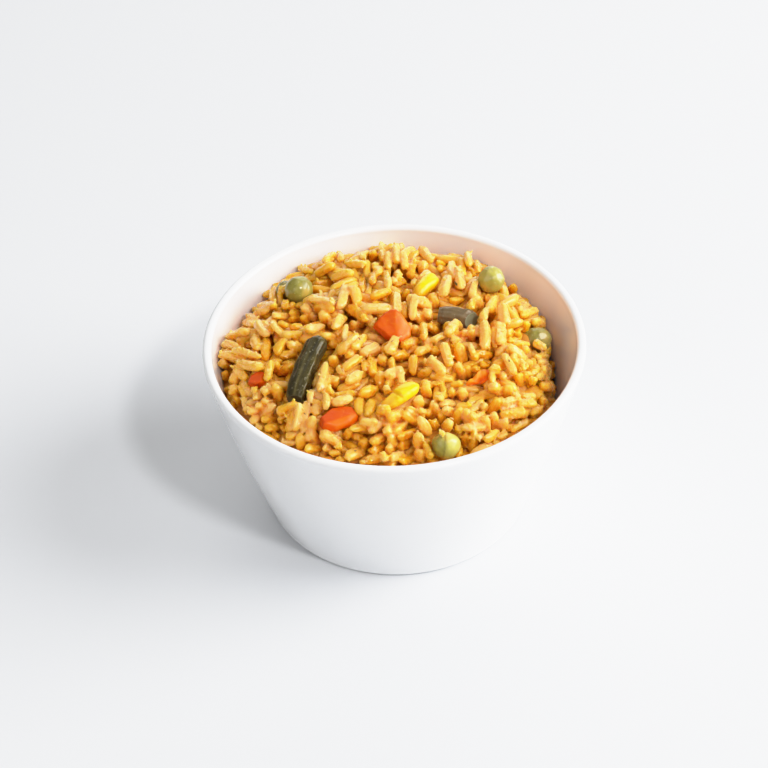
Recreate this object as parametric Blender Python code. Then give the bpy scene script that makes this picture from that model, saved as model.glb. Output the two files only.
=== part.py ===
"""A bowl of rice with vegetables: a white tapered bowl, a heap of rice with an uneven top,
and the peas, carrot pieces, corn kernels and cut green beans that sit in the heap.

Units are metres, +Z is up and the origin is the middle of the bowl's base."""

import math

import bmesh
import bpy
from mathutils import Matrix, Vector

MM = 0.001
GAP = 0.3  # mm, left between pieces that touch

# ---- bowl, in mm -------------------------------------------------------------
RIM_RADIUS = 55.0  # outside, at the rim
BOWL_HEIGHT = 57.5
BASE_RADIUS = 39.2  # outside, where the wall meets the table
WALL_BULGE = 0.046  # how far the wall bows out, as a share of its flare
WALL_AT_RIM = 2.6
WALL_GROWTH = 0.5  # how much thicker the wall is at the base
LIP_OUTER_ROUND = 1.1
LIP_INNER_ROUND = 1.3
BASE_ROUND = 1.9
FOOT_WIDTH = 3.6  # flat ring that the bowl stands on
FOOT_RECESS = 1.2
FLOOR = 4.0  # inside floor above the table
FLOOR_ROUND = 7.0
BOWL_SEGMENTS = 56

# ---- heap, in mm and degrees ---------------------------------------------------
CROWN = 6.0  # rise of the heap from its shoulder to its middle
SHOULDER = -1.6  # shoulder of the heap against the rim's height
MEAN_DROP = 7.2  # how far below the rim the rice meets the wall
PULLED_AWAY = 15.5  # extra drop on the side where the rice has come off the wall
PULLED_AT, PULLED_SPREAD = -3.0, 24.0
SHOULDER_WIDTH, STEEPER_BY, STEEP_SPREAD = 12.0, 4.5, 34.0
# Local dips and rises of the rice's edge: (direction, half width, extra drop)
EDGE_DIPS = ((37.0, 14.0, 3.8), (155.0, 13.0, 3.2), (72.0, 7.0, 1.6), (62.0, 4.0, -2.4), (95.0, 14.0, -1.4), (180.0, 14.0, -1.0))
RIDGE_AT, RIDGE_RISE, RIDGE_SPREAD = (1.0, 42.5), 2.6, 6.0  # rice piled at the far side
HEAP_SEGMENTS, HEAP_RINGS, SIDE_RINGS = 50, 12, 3


# ---- sizes that follow from those above ----------------------------------------
def outer_radius(z):
    s = min(z / (BOWL_HEIGHT - LIP_OUTER_ROUND), 1.0)
    return BASE_RADIUS + (RIM_RADIUS - BASE_RADIUS) * (s + WALL_BULGE * 4 * s * (1 - s))


def inner_radius(z):
    return outer_radius(z) - WALL_AT_RIM - WALL_GROWTH * (1 - z / BOWL_HEIGHT)


def bump(angle, centre, spread):
    away = (angle - centre + 180.0) % 360.0 - 180.0
    return math.exp(-((away / spread) ** 2))


def edge_drop(angle):
    drop = MEAN_DROP + PULLED_AWAY * bump(angle, PULLED_AT, PULLED_SPREAD)
    return drop + sum(extra * bump(angle, centre, spread) for centre, spread, extra in EDGE_DIPS)


def shoulder_width(angle):
    return SHOULDER_WIDTH - STEEPER_BY * bump(angle, PULLED_AT, STEEP_SPREAD)


def lumps(x, y):
    """The heap's unevenness: two sizes of lumps and the ridge at the far side."""
    large = 0.75 * math.sin(0.41 * x + 0.17 * y + 0.6) * math.sin(0.36 * y - 0.13 * x + 1.9)
    small = 0.45 * math.sin(0.83 * x - 0.31 * y + 2.2) * math.sin(0.77 * y + 0.29 * x + 0.4)
    away = (x - RIDGE_AT[0]) ** 2 + (y - RIDGE_AT[1]) ** 2
    return large + small + RIDGE_RISE * math.exp(-away / RIDGE_SPREAD**2)


def heap_edge(angle):
    """Radius of the rice where its top meets the wall."""
    return inner_radius(BOWL_HEIGHT - min(edge_drop(angle), 25.0)) - GAP


def heap_height(x, y):
    rho, angle = math.hypot(x, y), math.degrees(math.atan2(y, x))
    t = min(max((heap_edge(angle) - rho) / shoulder_width(angle), 0.0), 1.0)
    s = t * (1.4 - 0.4 * t)
    dome = SHOULDER + CROWN * (1 - (rho / inner_radius(BOWL_HEIGHT)) ** 2)
    return BOWL_HEIGHT - edge_drop(angle) * (1 - s) + dome * s + lumps(x, y) * min(2 * t, 1.0)


# ---- modelling helpers ----------------------------------------------------------
def material(name, colour, roughness):
    mat = bpy.data.materials.new(name)
    mat.use_nodes = True
    shader = mat.node_tree.nodes["Principled BSDF"]
    shader.inputs["Base Color"].default_value = (*colour, 1.0)
    shader.inputs["Roughness"].default_value = roughness
    shader.inputs["Metallic"].default_value = 0.0
    mat.diffuse_color = (*colour, 1.0)
    return mat


def to_object(name, bm, mat, smooth=math.radians(40)):
    bmesh.ops.recalc_face_normals(bm, faces=bm.faces)
    mesh = bpy.data.meshes.new(name)
    bm.to_mesh(mesh)
    bm.free()
    mesh.shade_smooth()
    mesh.set_sharp_from_angle(angle=smooth)
    mesh.materials.append(mat)
    obj = bpy.data.objects.new(name, mesh)
    bpy.context.collection.objects.link(obj)
    return obj


def arc(centre, radius, start, end, steps):
    """Points on a quarter or so of a circle, in degrees, both ends included."""
    points = []
    for i in range(steps + 1):
        a = math.radians(start + (end - start) * i / steps)
        points.append((centre[0] + radius * math.cos(a), centre[1] + radius * math.sin(a)))
    return points


def loft(bm, rings):
    """Joins rings of vertices, which may be single points at the ends, into one skin."""
    for lower, upper in zip(rings, rings[1:]):
        n = max(len(lower), len(upper))
        for i in range(n):
            j = (i + 1) % n
            if len(lower) == 1:
                bm.faces.new((lower[0], upper[j], upper[i]))
            elif len(upper) == 1:
                bm.faces.new((lower[i], lower[j], upper[0]))
            else:
                bm.faces.new((lower[i], lower[j], upper[j], upper[i]))


def ring(bm, points):
    return [bm.verts.new(Vector(p) * MM) for p in points]


# ---- the bowl --------------------------------------------------------------------
def bowl_profile():
    """Outside from the rim down, across the underside and up the inside, as (radius, z)."""
    top_outer = arc((RIM_RADIUS - LIP_OUTER_ROUND, BOWL_HEIGHT - LIP_OUTER_ROUND), LIP_OUTER_ROUND, 90, 0, 4)
    walls = [BOWL_HEIGHT * k / 8 for k in (7, 6, 5, 4, 3, 2, 1)]
    outside = [(outer_radius(z), z) for z in walls]
    corner = outer_radius(BASE_ROUND) - BASE_ROUND
    base = arc((corner, BASE_ROUND), BASE_ROUND, 0, -90, 4)
    foot = [(corner - FOOT_WIDTH, 0.0), (corner - FOOT_WIDTH - 0.9, FOOT_RECESS), (0.0, FOOT_RECESS)]
    turn = inner_radius(FLOOR + FLOOR_ROUND) - FLOOR_ROUND
    inside = [(0.0, FLOOR)] + arc((turn, FLOOR + FLOOR_ROUND), FLOOR_ROUND, -90, 0, 5)
    inside += [(inner_radius(z), z) for z in (20.0, 30.0, 40.0, 49.0)]
    lip = inner_radius(BOWL_HEIGHT - LIP_INNER_ROUND) + LIP_INNER_ROUND
    top_inner = arc((lip, BOWL_HEIGHT - LIP_INNER_ROUND), LIP_INNER_ROUND, 180, 90, 4)
    return top_outer + outside + base + foot, inside + top_inner


def make_bowl(mat):
    outside, inside = bowl_profile()
    bm = bmesh.new()
    rings = []
    for radius, z in outside + inside:
        if radius == 0.0:
            rings.append(ring(bm, [(0, 0, z)]))
        else:
            turns = [2 * math.pi * i / BOWL_SEGMENTS for i in range(BOWL_SEGMENTS)]
            rings.append(ring(bm, [(radius * math.cos(a), radius * math.sin(a), z) for a in turns]))
    split = len(outside)
    loft(bm, rings[:split])
    loft(bm, rings[split:])
    loft(bm, [rings[-1], rings[0]])
    return to_object("bowl", bm, mat)


# ---- the heap --------------------------------------------------------------------
def make_heap(mat, pockets):
    """Rice from the bowl's floor to its uneven top, with a pocket under each vegetable."""
    bm = bmesh.new()
    angles = [360.0 * i / HEAP_SEGMENTS for i in range(HEAP_SEGMENTS)]
    turns = [math.radians(a) for a in angles]
    rings = [ring(bm, [(0, 0, FLOOR + GAP)])]
    start = inner_radius(FLOOR + FLOOR_ROUND) - FLOOR_ROUND
    for radius, z in arc((start, FLOOR + FLOOR_ROUND), FLOOR_ROUND - GAP, -90, 0, 4):
        rings.append(ring(bm, [(radius * math.cos(a), radius * math.sin(a), z) for a in turns]))
    low = FLOOR + FLOOR_ROUND
    for k in range(1, SIDE_RINGS):
        points = []
        for angle, a in zip(angles, turns):
            top = heap_height(heap_edge(angle) * math.cos(a), heap_edge(angle) * math.sin(a))
            z = low + (top - low) * k / SIDE_RINGS
            radius = inner_radius(z) - GAP
            points.append((radius * math.cos(a), radius * math.sin(a), z))
        rings.append(ring(bm, points))
    for k in range(HEAP_RINGS):
        points = []
        for angle, a in zip(angles, turns):
            # Rings are closer together near the wall, where the rice falls away
            rho = heap_edge(angle) * (1 - (k / HEAP_RINGS) ** 1.35)
            x, y = rho * math.cos(a), rho * math.sin(a)
            points.append((x, y, heap_height(x, y)))
        rings.append(ring(bm, points))
    rings.append(ring(bm, [(0, 0, heap_height(0, 0))]))
    loft(bm, rings)
    heap = to_object("rice", bm, mat, smooth=math.radians(60))
    for pocket in pockets:
        pocket.hide_render = True
        pocket.display_type = "WIRE"
        cut = heap.modifiers.new(pocket.name, "BOOLEAN")
        cut.operation = "DIFFERENCE"
        cut.solver = "EXACT"
        cut.object = pocket
    return heap


# ---- the vegetables ----------------------------------------------------------------
def placed(bm, centre, turn):
    """Turns a shape made around the origin and moves it to its place, in mm."""
    rotation = Matrix.Rotation(math.radians(turn[2]), 4, "Z") @ Matrix.Rotation(math.radians(turn[1]), 4, "Y") @ Matrix.Rotation(math.radians(turn[0]), 4, "X")
    bmesh.ops.transform(bm, matrix=Matrix.Translation(Vector(centre) * MM) @ rotation, verts=bm.verts)


def pea(centre, size, turn, grow=0.0, around=14, along=9):
    """A slightly squashed ball with a shallow seam down one side."""
    bm = bmesh.new()
    rings = []
    for k in range(along + 1):
        lat = math.pi * k / along
        if k in (0, along):
            rings.append(ring(bm, [(0, 0, -(size[2] / 2 + grow) * math.cos(lat))]))
            continue
        points = []
        for i in range(around):
            a = 2 * math.pi * i / around
            seam = 1 - 0.035 * math.exp(-((a - math.pi) / 0.5) ** 2) if grow == 0.0 else 1.0
            points.append(((size[0] / 2 + grow) * math.sin(lat) * math.cos(a) * seam, (size[1] / 2 + grow) * math.sin(lat) * math.sin(a) * seam, -(size[2] / 2 + grow) * math.cos(lat)))
        rings.append(ring(bm, points))
    loft(bm, rings)
    placed(bm, centre, turn)
    return bm


def bean(centre, length, width, height, bend, turn, grow=0.0, around=14, stations=8):
    """A cut length of green bean along X: flattened, grooved along both seams, gently bent."""
    bm = bmesh.new()
    rings = []
    for k in range(stations + 1):
        s = k / stations
        x = (length + 2 * grow) * (s - 0.5)
        sag = bend * (4 * (s - 0.5) ** 2 - 0.33)
        near_end = min(s, 1 - s) * length
        taper = 0.86 + 0.14 * min(near_end / 1.6, 1.0) if grow == 0.0 else 1.0
        points = []
        for i in range(around):
            a = 2 * math.pi * i / around
            groove = 1 - 0.07 * math.cos(a) ** 16 if grow == 0.0 else 1.0
            points.append((x, (width / 2 + grow) * taper * math.cos(a) * groove + sag, (height / 2 + grow) * taper * math.sin(a)))
        rings.append(ring(bm, points))
    loft(bm, [ring(bm, [(-(length / 2 + grow), rings_centre(rings[0]), 0)])] + rings + [ring(bm, [(length / 2 + grow, rings_centre(rings[-1]), 0)])])
    placed(bm, centre, turn)
    return bm


def rings_centre(verts):
    return sum(v.co.y for v in verts) / len(verts) / MM


def carrot(centre, length, width, thick, corners, skew, turn, grow=0.0):
    """A diced piece of carrot: a flat-sided slab of a few corners with softened edges."""
    bm = bmesh.new()
    rings = []
    edge = min(0.55, thick * 0.22)
    for z, inset in ((-thick / 2 - grow, edge), (-thick / 2 + edge - grow, 0.0), (thick / 2 - edge + grow, 0.0), (thick / 2 + grow, edge)):
        points = []
        for i in range(corners):
            a = 2 * math.pi * (i + 0.5) / corners
            # A cut corner every other step keeps the outline uneven, as a knife leaves it
            reach = 1.0 - skew * (0.5 + 0.5 * math.cos(2.0 * a + 0.9))
            points.append(((length / 2 - inset + grow * 1.5) * reach * math.cos(a), (width / 2 - inset + grow * 1.5) * reach * math.sin(a), z))
        rings.append(ring(bm, points))
    loft(bm, [ring(bm, [(0, 0, -thick / 2 - grow)])] + rings + [ring(bm, [(0, 0, thick / 2 + grow)])])
    placed(bm, centre, turn)
    return bm


def kernel(centre, length, width, thick, turn, grow=0.0, around=12, stations=7):
    """A corn kernel along X: broad and round at the crown (+X), narrowing to the tip."""
    bm = bmesh.new()
    rings = []
    for k in range(stations + 1):
        s = k / stations
        x = (length / 2 + grow) * -math.cos(math.pi * s)
        if k in (0, stations):
            rings.append(ring(bm, [(x, 0, 0)]))
            continue
        t = 0.5 - 0.5 * math.cos(math.pi * s)
        body = math.sin(math.pi * s) ** 0.8 * (0.72 + 0.36 * t)
        points = []
        for i in range(around):
            a = 2 * math.pi * i / around
            points.append((x, (width / 2 + grow) * body * math.cos(a), (thick / 2 + grow) * body * math.sin(a)))
        rings.append(ring(bm, points))
    loft(bm, rings)
    placed(bm, centre, turn)
    return bm


# Each vegetable: name, shape, material, and its sizes, middle and turns about X, Y and Z
VEGETABLES = (
    ("pea_1", pea, "pea", dict(centre=(-27.3, 22.8, 58.2), size=(8.3, 8.1, 8.4), turn=(10, 20, 30))),
    ("pea_2", pea, "pea", dict(centre=(29.5, 22.5, 59.8), size=(7.6, 7.8, 8.6), turn=(0, 10, 75))),
    ("pea_3", pea, "pea", dict(centre=(41.5, 4.7, 50.7), size=(9.0, 7.6, 7.4), turn=(0, 18, 20))),
    ("pea_4", pea, "pea", dict(centre=(13.0, -42.3, 54.7), size=(7.5, 7.4, 7.9), turn=(-15, 0, 70))),
    ("pea_5", pea, "pea", dict(centre=(-31.2, 28.0, 53.9), size=(6.4, 6.2, 6.2), turn=(0, 0, 0))),
    ("carrot_1", carrot, "carrot", dict(centre=(-0.7, -0.6, 61.2), length=12.4, width=9.6, thick=4.8, corners=7, skew=0.16, turn=(24, 22, -28))),
    ("carrot_2", carrot, "carrot", dict(centre=(-16.2, -33.4, 57.2), length=12.0, width=8.4, thick=2.8, corners=6, skew=0.14, turn=(6, 8, 6))),
    ("carrot_3", carrot, "carrot", dict(centre=(-38.8, -14.2, 55.3), length=6.4, width=5.6, thick=3.6, corners=6, skew=0.12, turn=(20, -10, 40))),
    ("carrot_4", carrot, "carrot", dict(centre=(24.0, -20.3, 58.7), length=12.6, width=3.6, thick=1.8, corners=8, skew=0.1, turn=(12, 2, 38))),
    ("corn_1", kernel, "corn", dict(centre=(9.9, 19.3, 60.6), length=11.0, width=6.4, thick=4.4, turn=(15, 4, 50))),
    ("corn_2", kernel, "corn", dict(centre=(0.8, -28.4, 60.4), length=12.2, width=6.4, thick=4.2, turn=(-10, -10, 32))),
    ("bean_1", bean, "bean", dict(centre=(-25.1, -14.3, 58.9), length=23.0, width=6.3, height=5.6, bend=0.7, turn=(0, 7.2, -107.2))),
    ("bean_2", bean, "bean", dict(centre=(18.1, 6.5, 59.2), length=12.4, width=5.6, height=5.0, bend=-0.3, turn=(20, 6.0, -10.8))),
)


def main():
    for old in list(bpy.data.objects):
        bpy.data.objects.remove(old, do_unlink=True)
    looks = {
        "glaze": material("glaze", (0.86, 0.87, 0.88), 0.25),
        "rice": material("rice", (0.80, 0.42, 0.10), 0.45),
        "pea": material("pea", (0.36, 0.36, 0.12), 0.35),
        "carrot": material("carrot", (0.85, 0.20, 0.03), 0.4),
        "corn": material("corn", (0.90, 0.62, 0.02), 0.3),
        "bean": material("bean", (0.10, 0.10, 0.045), 0.35),
    }
    make_bowl(looks["glaze"])
    pockets = []
    for name, shape, look, sizes in VEGETABLES:
        to_object(name, shape(**sizes), looks[look])
        pockets.append(to_object("pocket_" + name, shape(**sizes, grow=GAP + 0.1), looks["rice"]))
    make_heap(looks["rice"], pockets)


main()
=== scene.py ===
"""The looks of a bowl of rice with vegetables: a glazed white bowl, a heap of separate cooked
grains over a smaller core, and peas, carrot, corn and cut green beans among them."""

import math

import bpy
import numpy as np
from mathutils import Matrix, Vector, kdtree


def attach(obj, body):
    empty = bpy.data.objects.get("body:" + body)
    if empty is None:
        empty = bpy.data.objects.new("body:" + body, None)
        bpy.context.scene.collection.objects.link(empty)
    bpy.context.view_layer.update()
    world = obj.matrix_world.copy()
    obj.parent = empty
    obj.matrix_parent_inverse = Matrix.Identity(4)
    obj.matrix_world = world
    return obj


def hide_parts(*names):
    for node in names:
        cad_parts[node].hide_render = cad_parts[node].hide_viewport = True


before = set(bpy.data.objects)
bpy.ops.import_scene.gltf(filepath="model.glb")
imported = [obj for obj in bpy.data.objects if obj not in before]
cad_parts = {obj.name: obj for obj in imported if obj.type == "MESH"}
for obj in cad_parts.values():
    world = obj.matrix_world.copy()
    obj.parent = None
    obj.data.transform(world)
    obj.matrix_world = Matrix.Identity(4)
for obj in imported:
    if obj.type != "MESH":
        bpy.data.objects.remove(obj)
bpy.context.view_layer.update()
MM = 0.001


# ---- the camera, as fitted to the bowl's rim and silhouette -----------------------
TILT, ROLL = math.radians(41.28), math.radians(2.1)
AIM = np.array([-3.289, -19.888, 57.5])  # mm
AWAY = 558.69
FOCAL = 2000.0  # in pixels of the 768 frame
LOOK = np.array([0.0, math.cos(TILT), -math.sin(TILT)])
RIGHT = np.array([1.0, 0.0, 0.0])
DOWN = np.array([0.0, -math.sin(TILT), -math.cos(TILT)])
ACROSS = math.cos(ROLL) * RIGHT + math.sin(ROLL) * DOWN
UPWARD = math.sin(ROLL) * RIGHT - math.cos(ROLL) * DOWN
EYE = AIM - AWAY * LOOK


def make_camera():
    cam = bpy.data.cameras.new("camera")
    cam.sensor_width = 36.0
    cam.lens = FOCAL * 36.0 / 768.0
    cam.clip_start, cam.clip_end = 0.01, 20.0
    obj = bpy.data.objects.new("camera", cam)
    bpy.context.scene.collection.objects.link(obj)
    m = Matrix.Identity(4)
    for row in range(3):
        m[row][0], m[row][1], m[row][2] = ACROSS[row], UPWARD[row], -LOOK[row]
        m[row][3] = EYE[row] * MM
    obj.matrix_world = m
    bpy.context.scene.camera = obj


# ---- the bowl and the heap, as in the CAD model --------------------------------------
RIM_RADIUS, BOWL_HEIGHT, BASE_RADIUS, WALL_BULGE = 55.0, 57.5, 39.2, 0.046
WALL_AT_RIM, WALL_GROWTH = 2.6, 0.5
LIP_OUTER_ROUND, LIP_INNER_ROUND, BASE_ROUND = 1.1, 1.3, 1.9
FOOT_WIDTH, FOOT_RECESS, FLOOR, FLOOR_ROUND = 3.6, 1.2, 4.0, 7.0
CROWN, SHOULDER, MEAN_DROP = 6.0, -1.6, 7.2
PULLED_AWAY, PULLED_AT, PULLED_SPREAD = 15.5, -3.0, 24.0
SHOULDER_WIDTH, STEEPER_BY, STEEP_SPREAD = 12.0, 4.5, 34.0
EDGE_DIPS = ((37.0, 14.0, 3.8), (155.0, 13.0, 3.2), (72.0, 7.0, 1.6), (62.0, 4.0, -2.4), (95.0, 14.0, -1.4), (180.0, 14.0, -1.0))
RIDGE_AT, RIDGE_RISE, RIDGE_SPREAD = (1.0, 42.5), 2.6, 6.0


def outer_radius(z):
    s = np.minimum(z / (BOWL_HEIGHT - LIP_OUTER_ROUND), 1.0)
    return BASE_RADIUS + (RIM_RADIUS - BASE_RADIUS) * (s + WALL_BULGE * 4 * s * (1 - s))


def inner_radius(z):
    return outer_radius(z) - WALL_AT_RIM - WALL_GROWTH * (1 - z / BOWL_HEIGHT)


def bump(angle, centre, spread):
    return np.exp(-((((angle - centre + 180.0) % 360.0 - 180.0) / spread) ** 2))


def edge_drop(angle):
    drop = MEAN_DROP + PULLED_AWAY * bump(angle, PULLED_AT, PULLED_SPREAD)
    return drop + sum(extra * bump(angle, centre, spread) for centre, spread, extra in EDGE_DIPS)


def heap_edge(angle):
    return inner_radius(BOWL_HEIGHT - np.minimum(edge_drop(angle), 25.0)) - 0.3


def heap_height(x, y):
    rho, angle = np.hypot(x, y), np.degrees(np.arctan2(y, x))
    width = SHOULDER_WIDTH - STEEPER_BY * bump(angle, PULLED_AT, STEEP_SPREAD)
    t = np.clip((heap_edge(angle) - rho) / width, 0.0, 1.0)
    s = t * (1.4 - 0.4 * t)
    dome = SHOULDER + CROWN * (1 - (rho / inner_radius(BOWL_HEIGHT)) ** 2)
    lumps = 0.75 * np.sin(0.41 * x + 0.17 * y + 0.6) * np.sin(0.36 * y - 0.13 * x + 1.9)
    lumps = lumps + 0.45 * np.sin(0.83 * x - 0.31 * y + 2.2) * np.sin(0.77 * y + 0.29 * x + 0.4)
    lumps = lumps + RIDGE_RISE * np.exp(-((x - RIDGE_AT[0]) ** 2 + (y - RIDGE_AT[1]) ** 2) / RIDGE_SPREAD**2)
    return BOWL_HEIGHT - edge_drop(angle) * (1 - s) + dome * s + lumps * np.minimum(2 * t, 1.0)


# ---- mesh helpers ------------------------------------------------------------------------
def mesh_object(name, verts, faces, mat, smooth=None):
    """verts in mm. smooth is the angle in degrees past which an edge stays sharp."""
    mesh = bpy.data.meshes.new(name)
    mesh.from_pydata((np.asarray(verts, float) * MM).tolist(), [], faces)
    mesh.validate()
    mesh.shade_smooth()
    if smooth:
        mesh.set_sharp_from_angle(angle=math.radians(smooth))
    if mat:
        mesh.materials.append(mat)
    obj = bpy.data.objects.new(name, mesh)
    bpy.context.scene.collection.objects.link(obj)
    return obj


def arc(centre, radius, start, end, steps):
    a = np.radians(np.linspace(start, end, steps + 1))
    return [(centre[0] + radius * math.cos(x), centre[1] + radius * math.sin(x)) for x in a]


def grid_faces(rows, cols, base=0, wrap=True):
    """Quads over rows x cols vertices, the columns closed round."""
    faces = []
    for i in range(rows - 1):
        for j in range(cols if wrap else cols - 1):
            k = (j + 1) % cols
            faces.append((base + i * cols + j, base + i * cols + k, base + (i + 1) * cols + k, base + (i + 1) * cols + j))
    return faces


# ---- node helpers ------------------------------------------------------------------------
class Nodes:
    """A short way to write a material's node tree."""

    def __init__(self, name):
        self.mat = bpy.data.materials.new(name)
        self.mat.use_nodes = True
        self.tree = self.mat.node_tree
        self.tree.nodes.clear()
        self.out = self.add("ShaderNodeOutputMaterial")
        self.shader = self.add("ShaderNodeBsdfPrincipled")
        self.link(self.shader.outputs[0], self.out.inputs["Surface"])
        self.coords = self.add("ShaderNodeTexCoord").outputs["Object"]

    def add(self, kind, **values):
        n = self.tree.nodes.new(kind)
        for k, v in values.items():
            setattr(n, k, v)
        return n

    def link(self, a, b):
        self.tree.links.new(a, b)

    def put(self, socket, value):
        if hasattr(value, "is_output"):
            self.link(value, socket)
        else:
            socket.default_value = value

    def noise(self, scale, detail=3.0, rough=0.55, distortion=0.0, coords=None, out="Fac"):
        n = self.add("ShaderNodeTexNoise")
        self.link(self.coords if coords is None else coords, n.inputs["Vector"])
        n.inputs["Scale"].default_value = scale
        n.inputs["Detail"].default_value = detail
        n.inputs["Roughness"].default_value = rough
        n.inputs["Distortion"].default_value = distortion
        return n.outputs[out]

    def voronoi(self, scale, feature="F1", coords=None, out="Distance", rand=1.0):
        n = self.add("ShaderNodeTexVoronoi", feature=feature)
        self.link(self.coords if coords is None else coords, n.inputs["Vector"])
        n.inputs["Scale"].default_value = scale
        n.inputs["Randomness"].default_value = rand
        return n.outputs[out]

    def ramp(self, fac, stops, mode="EASE"):
        n = self.add("ShaderNodeValToRGB")
        n.color_ramp.interpolation = mode
        els = n.color_ramp.elements
        while len(els) < len(stops):
            els.new(0.5)
        for e, (pos, col) in zip(els, stops):
            e.position = pos
            e.color = (*col, 1.0) if len(col) == 3 else col
        self.put(n.inputs["Fac"], fac)
        return n.outputs["Color"]

    def math(self, op, a, b=0.0, clamp=False):
        n = self.add("ShaderNodeMath", operation=op, use_clamp=clamp)
        self.put(n.inputs[0], a)
        self.put(n.inputs[1], b)
        return n.outputs[0]

    def range(self, value, lo, hi, to_lo=0.0, to_hi=1.0, smooth=False):
        n = self.add("ShaderNodeMapRange", interpolation_type="SMOOTHSTEP" if smooth else "LINEAR")
        self.put(n.inputs["Value"], value)
        for key, v in (("From Min", lo), ("From Max", hi), ("To Min", to_lo), ("To Max", to_hi)):
            n.inputs[key].default_value = v
        return n.outputs["Result"]

    def mix(self, fac, a, b, kind="MIX"):
        n = self.add("ShaderNodeMix", data_type="RGBA", blend_type=kind)
        self.put(n.inputs["Factor"], fac)
        for socket, v in ((n.inputs[6], a), (n.inputs[7], b)):
            if hasattr(v, "is_output"):
                self.link(v, socket)
            else:
                socket.default_value = (*v, 1.0) if len(v) == 3 else v
        return n.outputs[2]

    def attribute(self, name, out="Fac"):
        n = self.add("ShaderNodeAttribute", attribute_name=name)
        return n.outputs[out]

    def bump(self, height, distance_mm, strength=1.0, normal=None):
        n = self.add("ShaderNodeBump")
        n.inputs["Strength"].default_value = strength
        n.inputs["Distance"].default_value = distance_mm * MM
        self.put(n.inputs["Height"], height)
        if normal is not None:
            self.link(normal, n.inputs["Normal"])
        return n.outputs["Normal"]

    def set(self, **values):
        names = {"color": "Base Color", "rough": "Roughness", "normal": "Normal", "sss": "Subsurface Weight", "radius": "Subsurface Radius", "sss_scale": "Subsurface Scale", "coat": "Coat Weight", "coat_rough": "Coat Roughness", "ior": "IOR", "spec": "Specular IOR Level", "tint": "Specular Tint", "sheen": "Sheen Weight", "aniso": "Subsurface Anisotropy"}
        for k, v in values.items():
            s = self.shader.inputs[names[k]]
            if k in ("color", "tint") and not hasattr(v, "is_output") and len(v) == 3:
                v = (*v, 1.0)
            self.put(s, v)
        return self.mat


# ---- the bowl -----------------------------------------------------------------------------
def glaze_material():
    n = Nodes("glaze")
    drift = n.noise(28.0, 2.0)
    speck = n.noise(900.0, 2.0)
    base = n.ramp(drift, [(0.3, (0.865, 0.872, 0.882)), (0.7, (0.885, 0.892, 0.902))])
    base = n.mix(n.range(speck, 0.72, 0.8, 0.0, 0.25), base, (0.70, 0.69, 0.67))
    rough = n.range(n.noise(60.0, 3.0), 0.3, 0.7, 0.16, 0.24)
    wave = n.bump(n.noise(70.0, 1.0), 0.12, 0.25)
    fine = n.bump(n.noise(600.0, 1.0), 0.01, 0.35, wave)
    return n.set(color=base, rough=rough, normal=fine, ior=1.5, coat=0.35, coat_rough=0.06)


def make_bowl():
    """The CAD profile again, turned in finer steps, with an easy unevenness of hand-size waves."""
    lip_at = BOWL_HEIGHT - LIP_OUTER_ROUND
    outside = arc((RIM_RADIUS - LIP_OUTER_ROUND, lip_at), LIP_OUTER_ROUND, 90, 0, 8)
    outside += [(float(outer_radius(z)), z) for z in np.linspace(lip_at - 1.5, BASE_ROUND + 1.2, 30)]
    corner = float(outer_radius(BASE_ROUND)) - BASE_ROUND
    outside += arc((corner, BASE_ROUND), BASE_ROUND, 0, -90, 8)
    inner_foot = corner - FOOT_WIDTH
    outside += [(inner_foot + 0.4, 0.0)] + arc((inner_foot, 0.4), 0.4, -90, -180, 3)[1:]
    outside += [(inner_foot - 0.7, FOOT_RECESS - 0.15), (inner_foot - 1.2, FOOT_RECESS)]
    outside += [(r, FOOT_RECESS) for r in (26.0, 18.0, 10.0, 3.0)]
    turn = float(inner_radius(FLOOR + FLOOR_ROUND)) - FLOOR_ROUND
    inside = [(r, FLOOR) for r in (3.0, 12.0, 20.0)] + arc((turn, FLOOR + FLOOR_ROUND), FLOOR_ROUND, -90, 0, 10)
    high = BOWL_HEIGHT - LIP_INNER_ROUND
    inside += [(float(inner_radius(z)), z) for z in np.linspace(FLOOR + FLOOR_ROUND + 2, high - 1.2, 28)]
    lip = float(inner_radius(high)) + LIP_INNER_ROUND
    inside += arc((lip, high), LIP_INNER_ROUND, 180, 90, 8)
    cols = 224
    turns = 2 * np.pi * np.arange(cols) / cols
    rings = outside + inside
    verts, faces = [], []
    for r, z in rings:
        verts += [(r * math.cos(a), r * math.sin(a), z) for a in turns]
    n_out, n_in = len(outside), len(inside)
    faces += grid_faces(n_out, cols)
    faces += grid_faces(n_in, cols, n_out * cols)
    last, first = (len(rings) - 1) * cols, 0
    for j in range(cols):
        k = (j + 1) % cols
        faces.append((last + j, last + k, first + k, first + j))
    verts += [(0, 0, FOOT_RECESS), (0, 0, FLOOR)]
    for j in range(cols):
        k = (j + 1) % cols
        under, floor = (n_out - 1) * cols, n_out * cols
        faces.append((under + j, under + k, len(verts) - 2))
        faces.append((len(verts) - 1, floor + k, floor + j))
    obj = mesh_object("bowl_glazed", verts, faces, glaze_material())
    obj.data.flip_normals()
    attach(obj, "root")
    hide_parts("bowl")
    return obj


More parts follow.
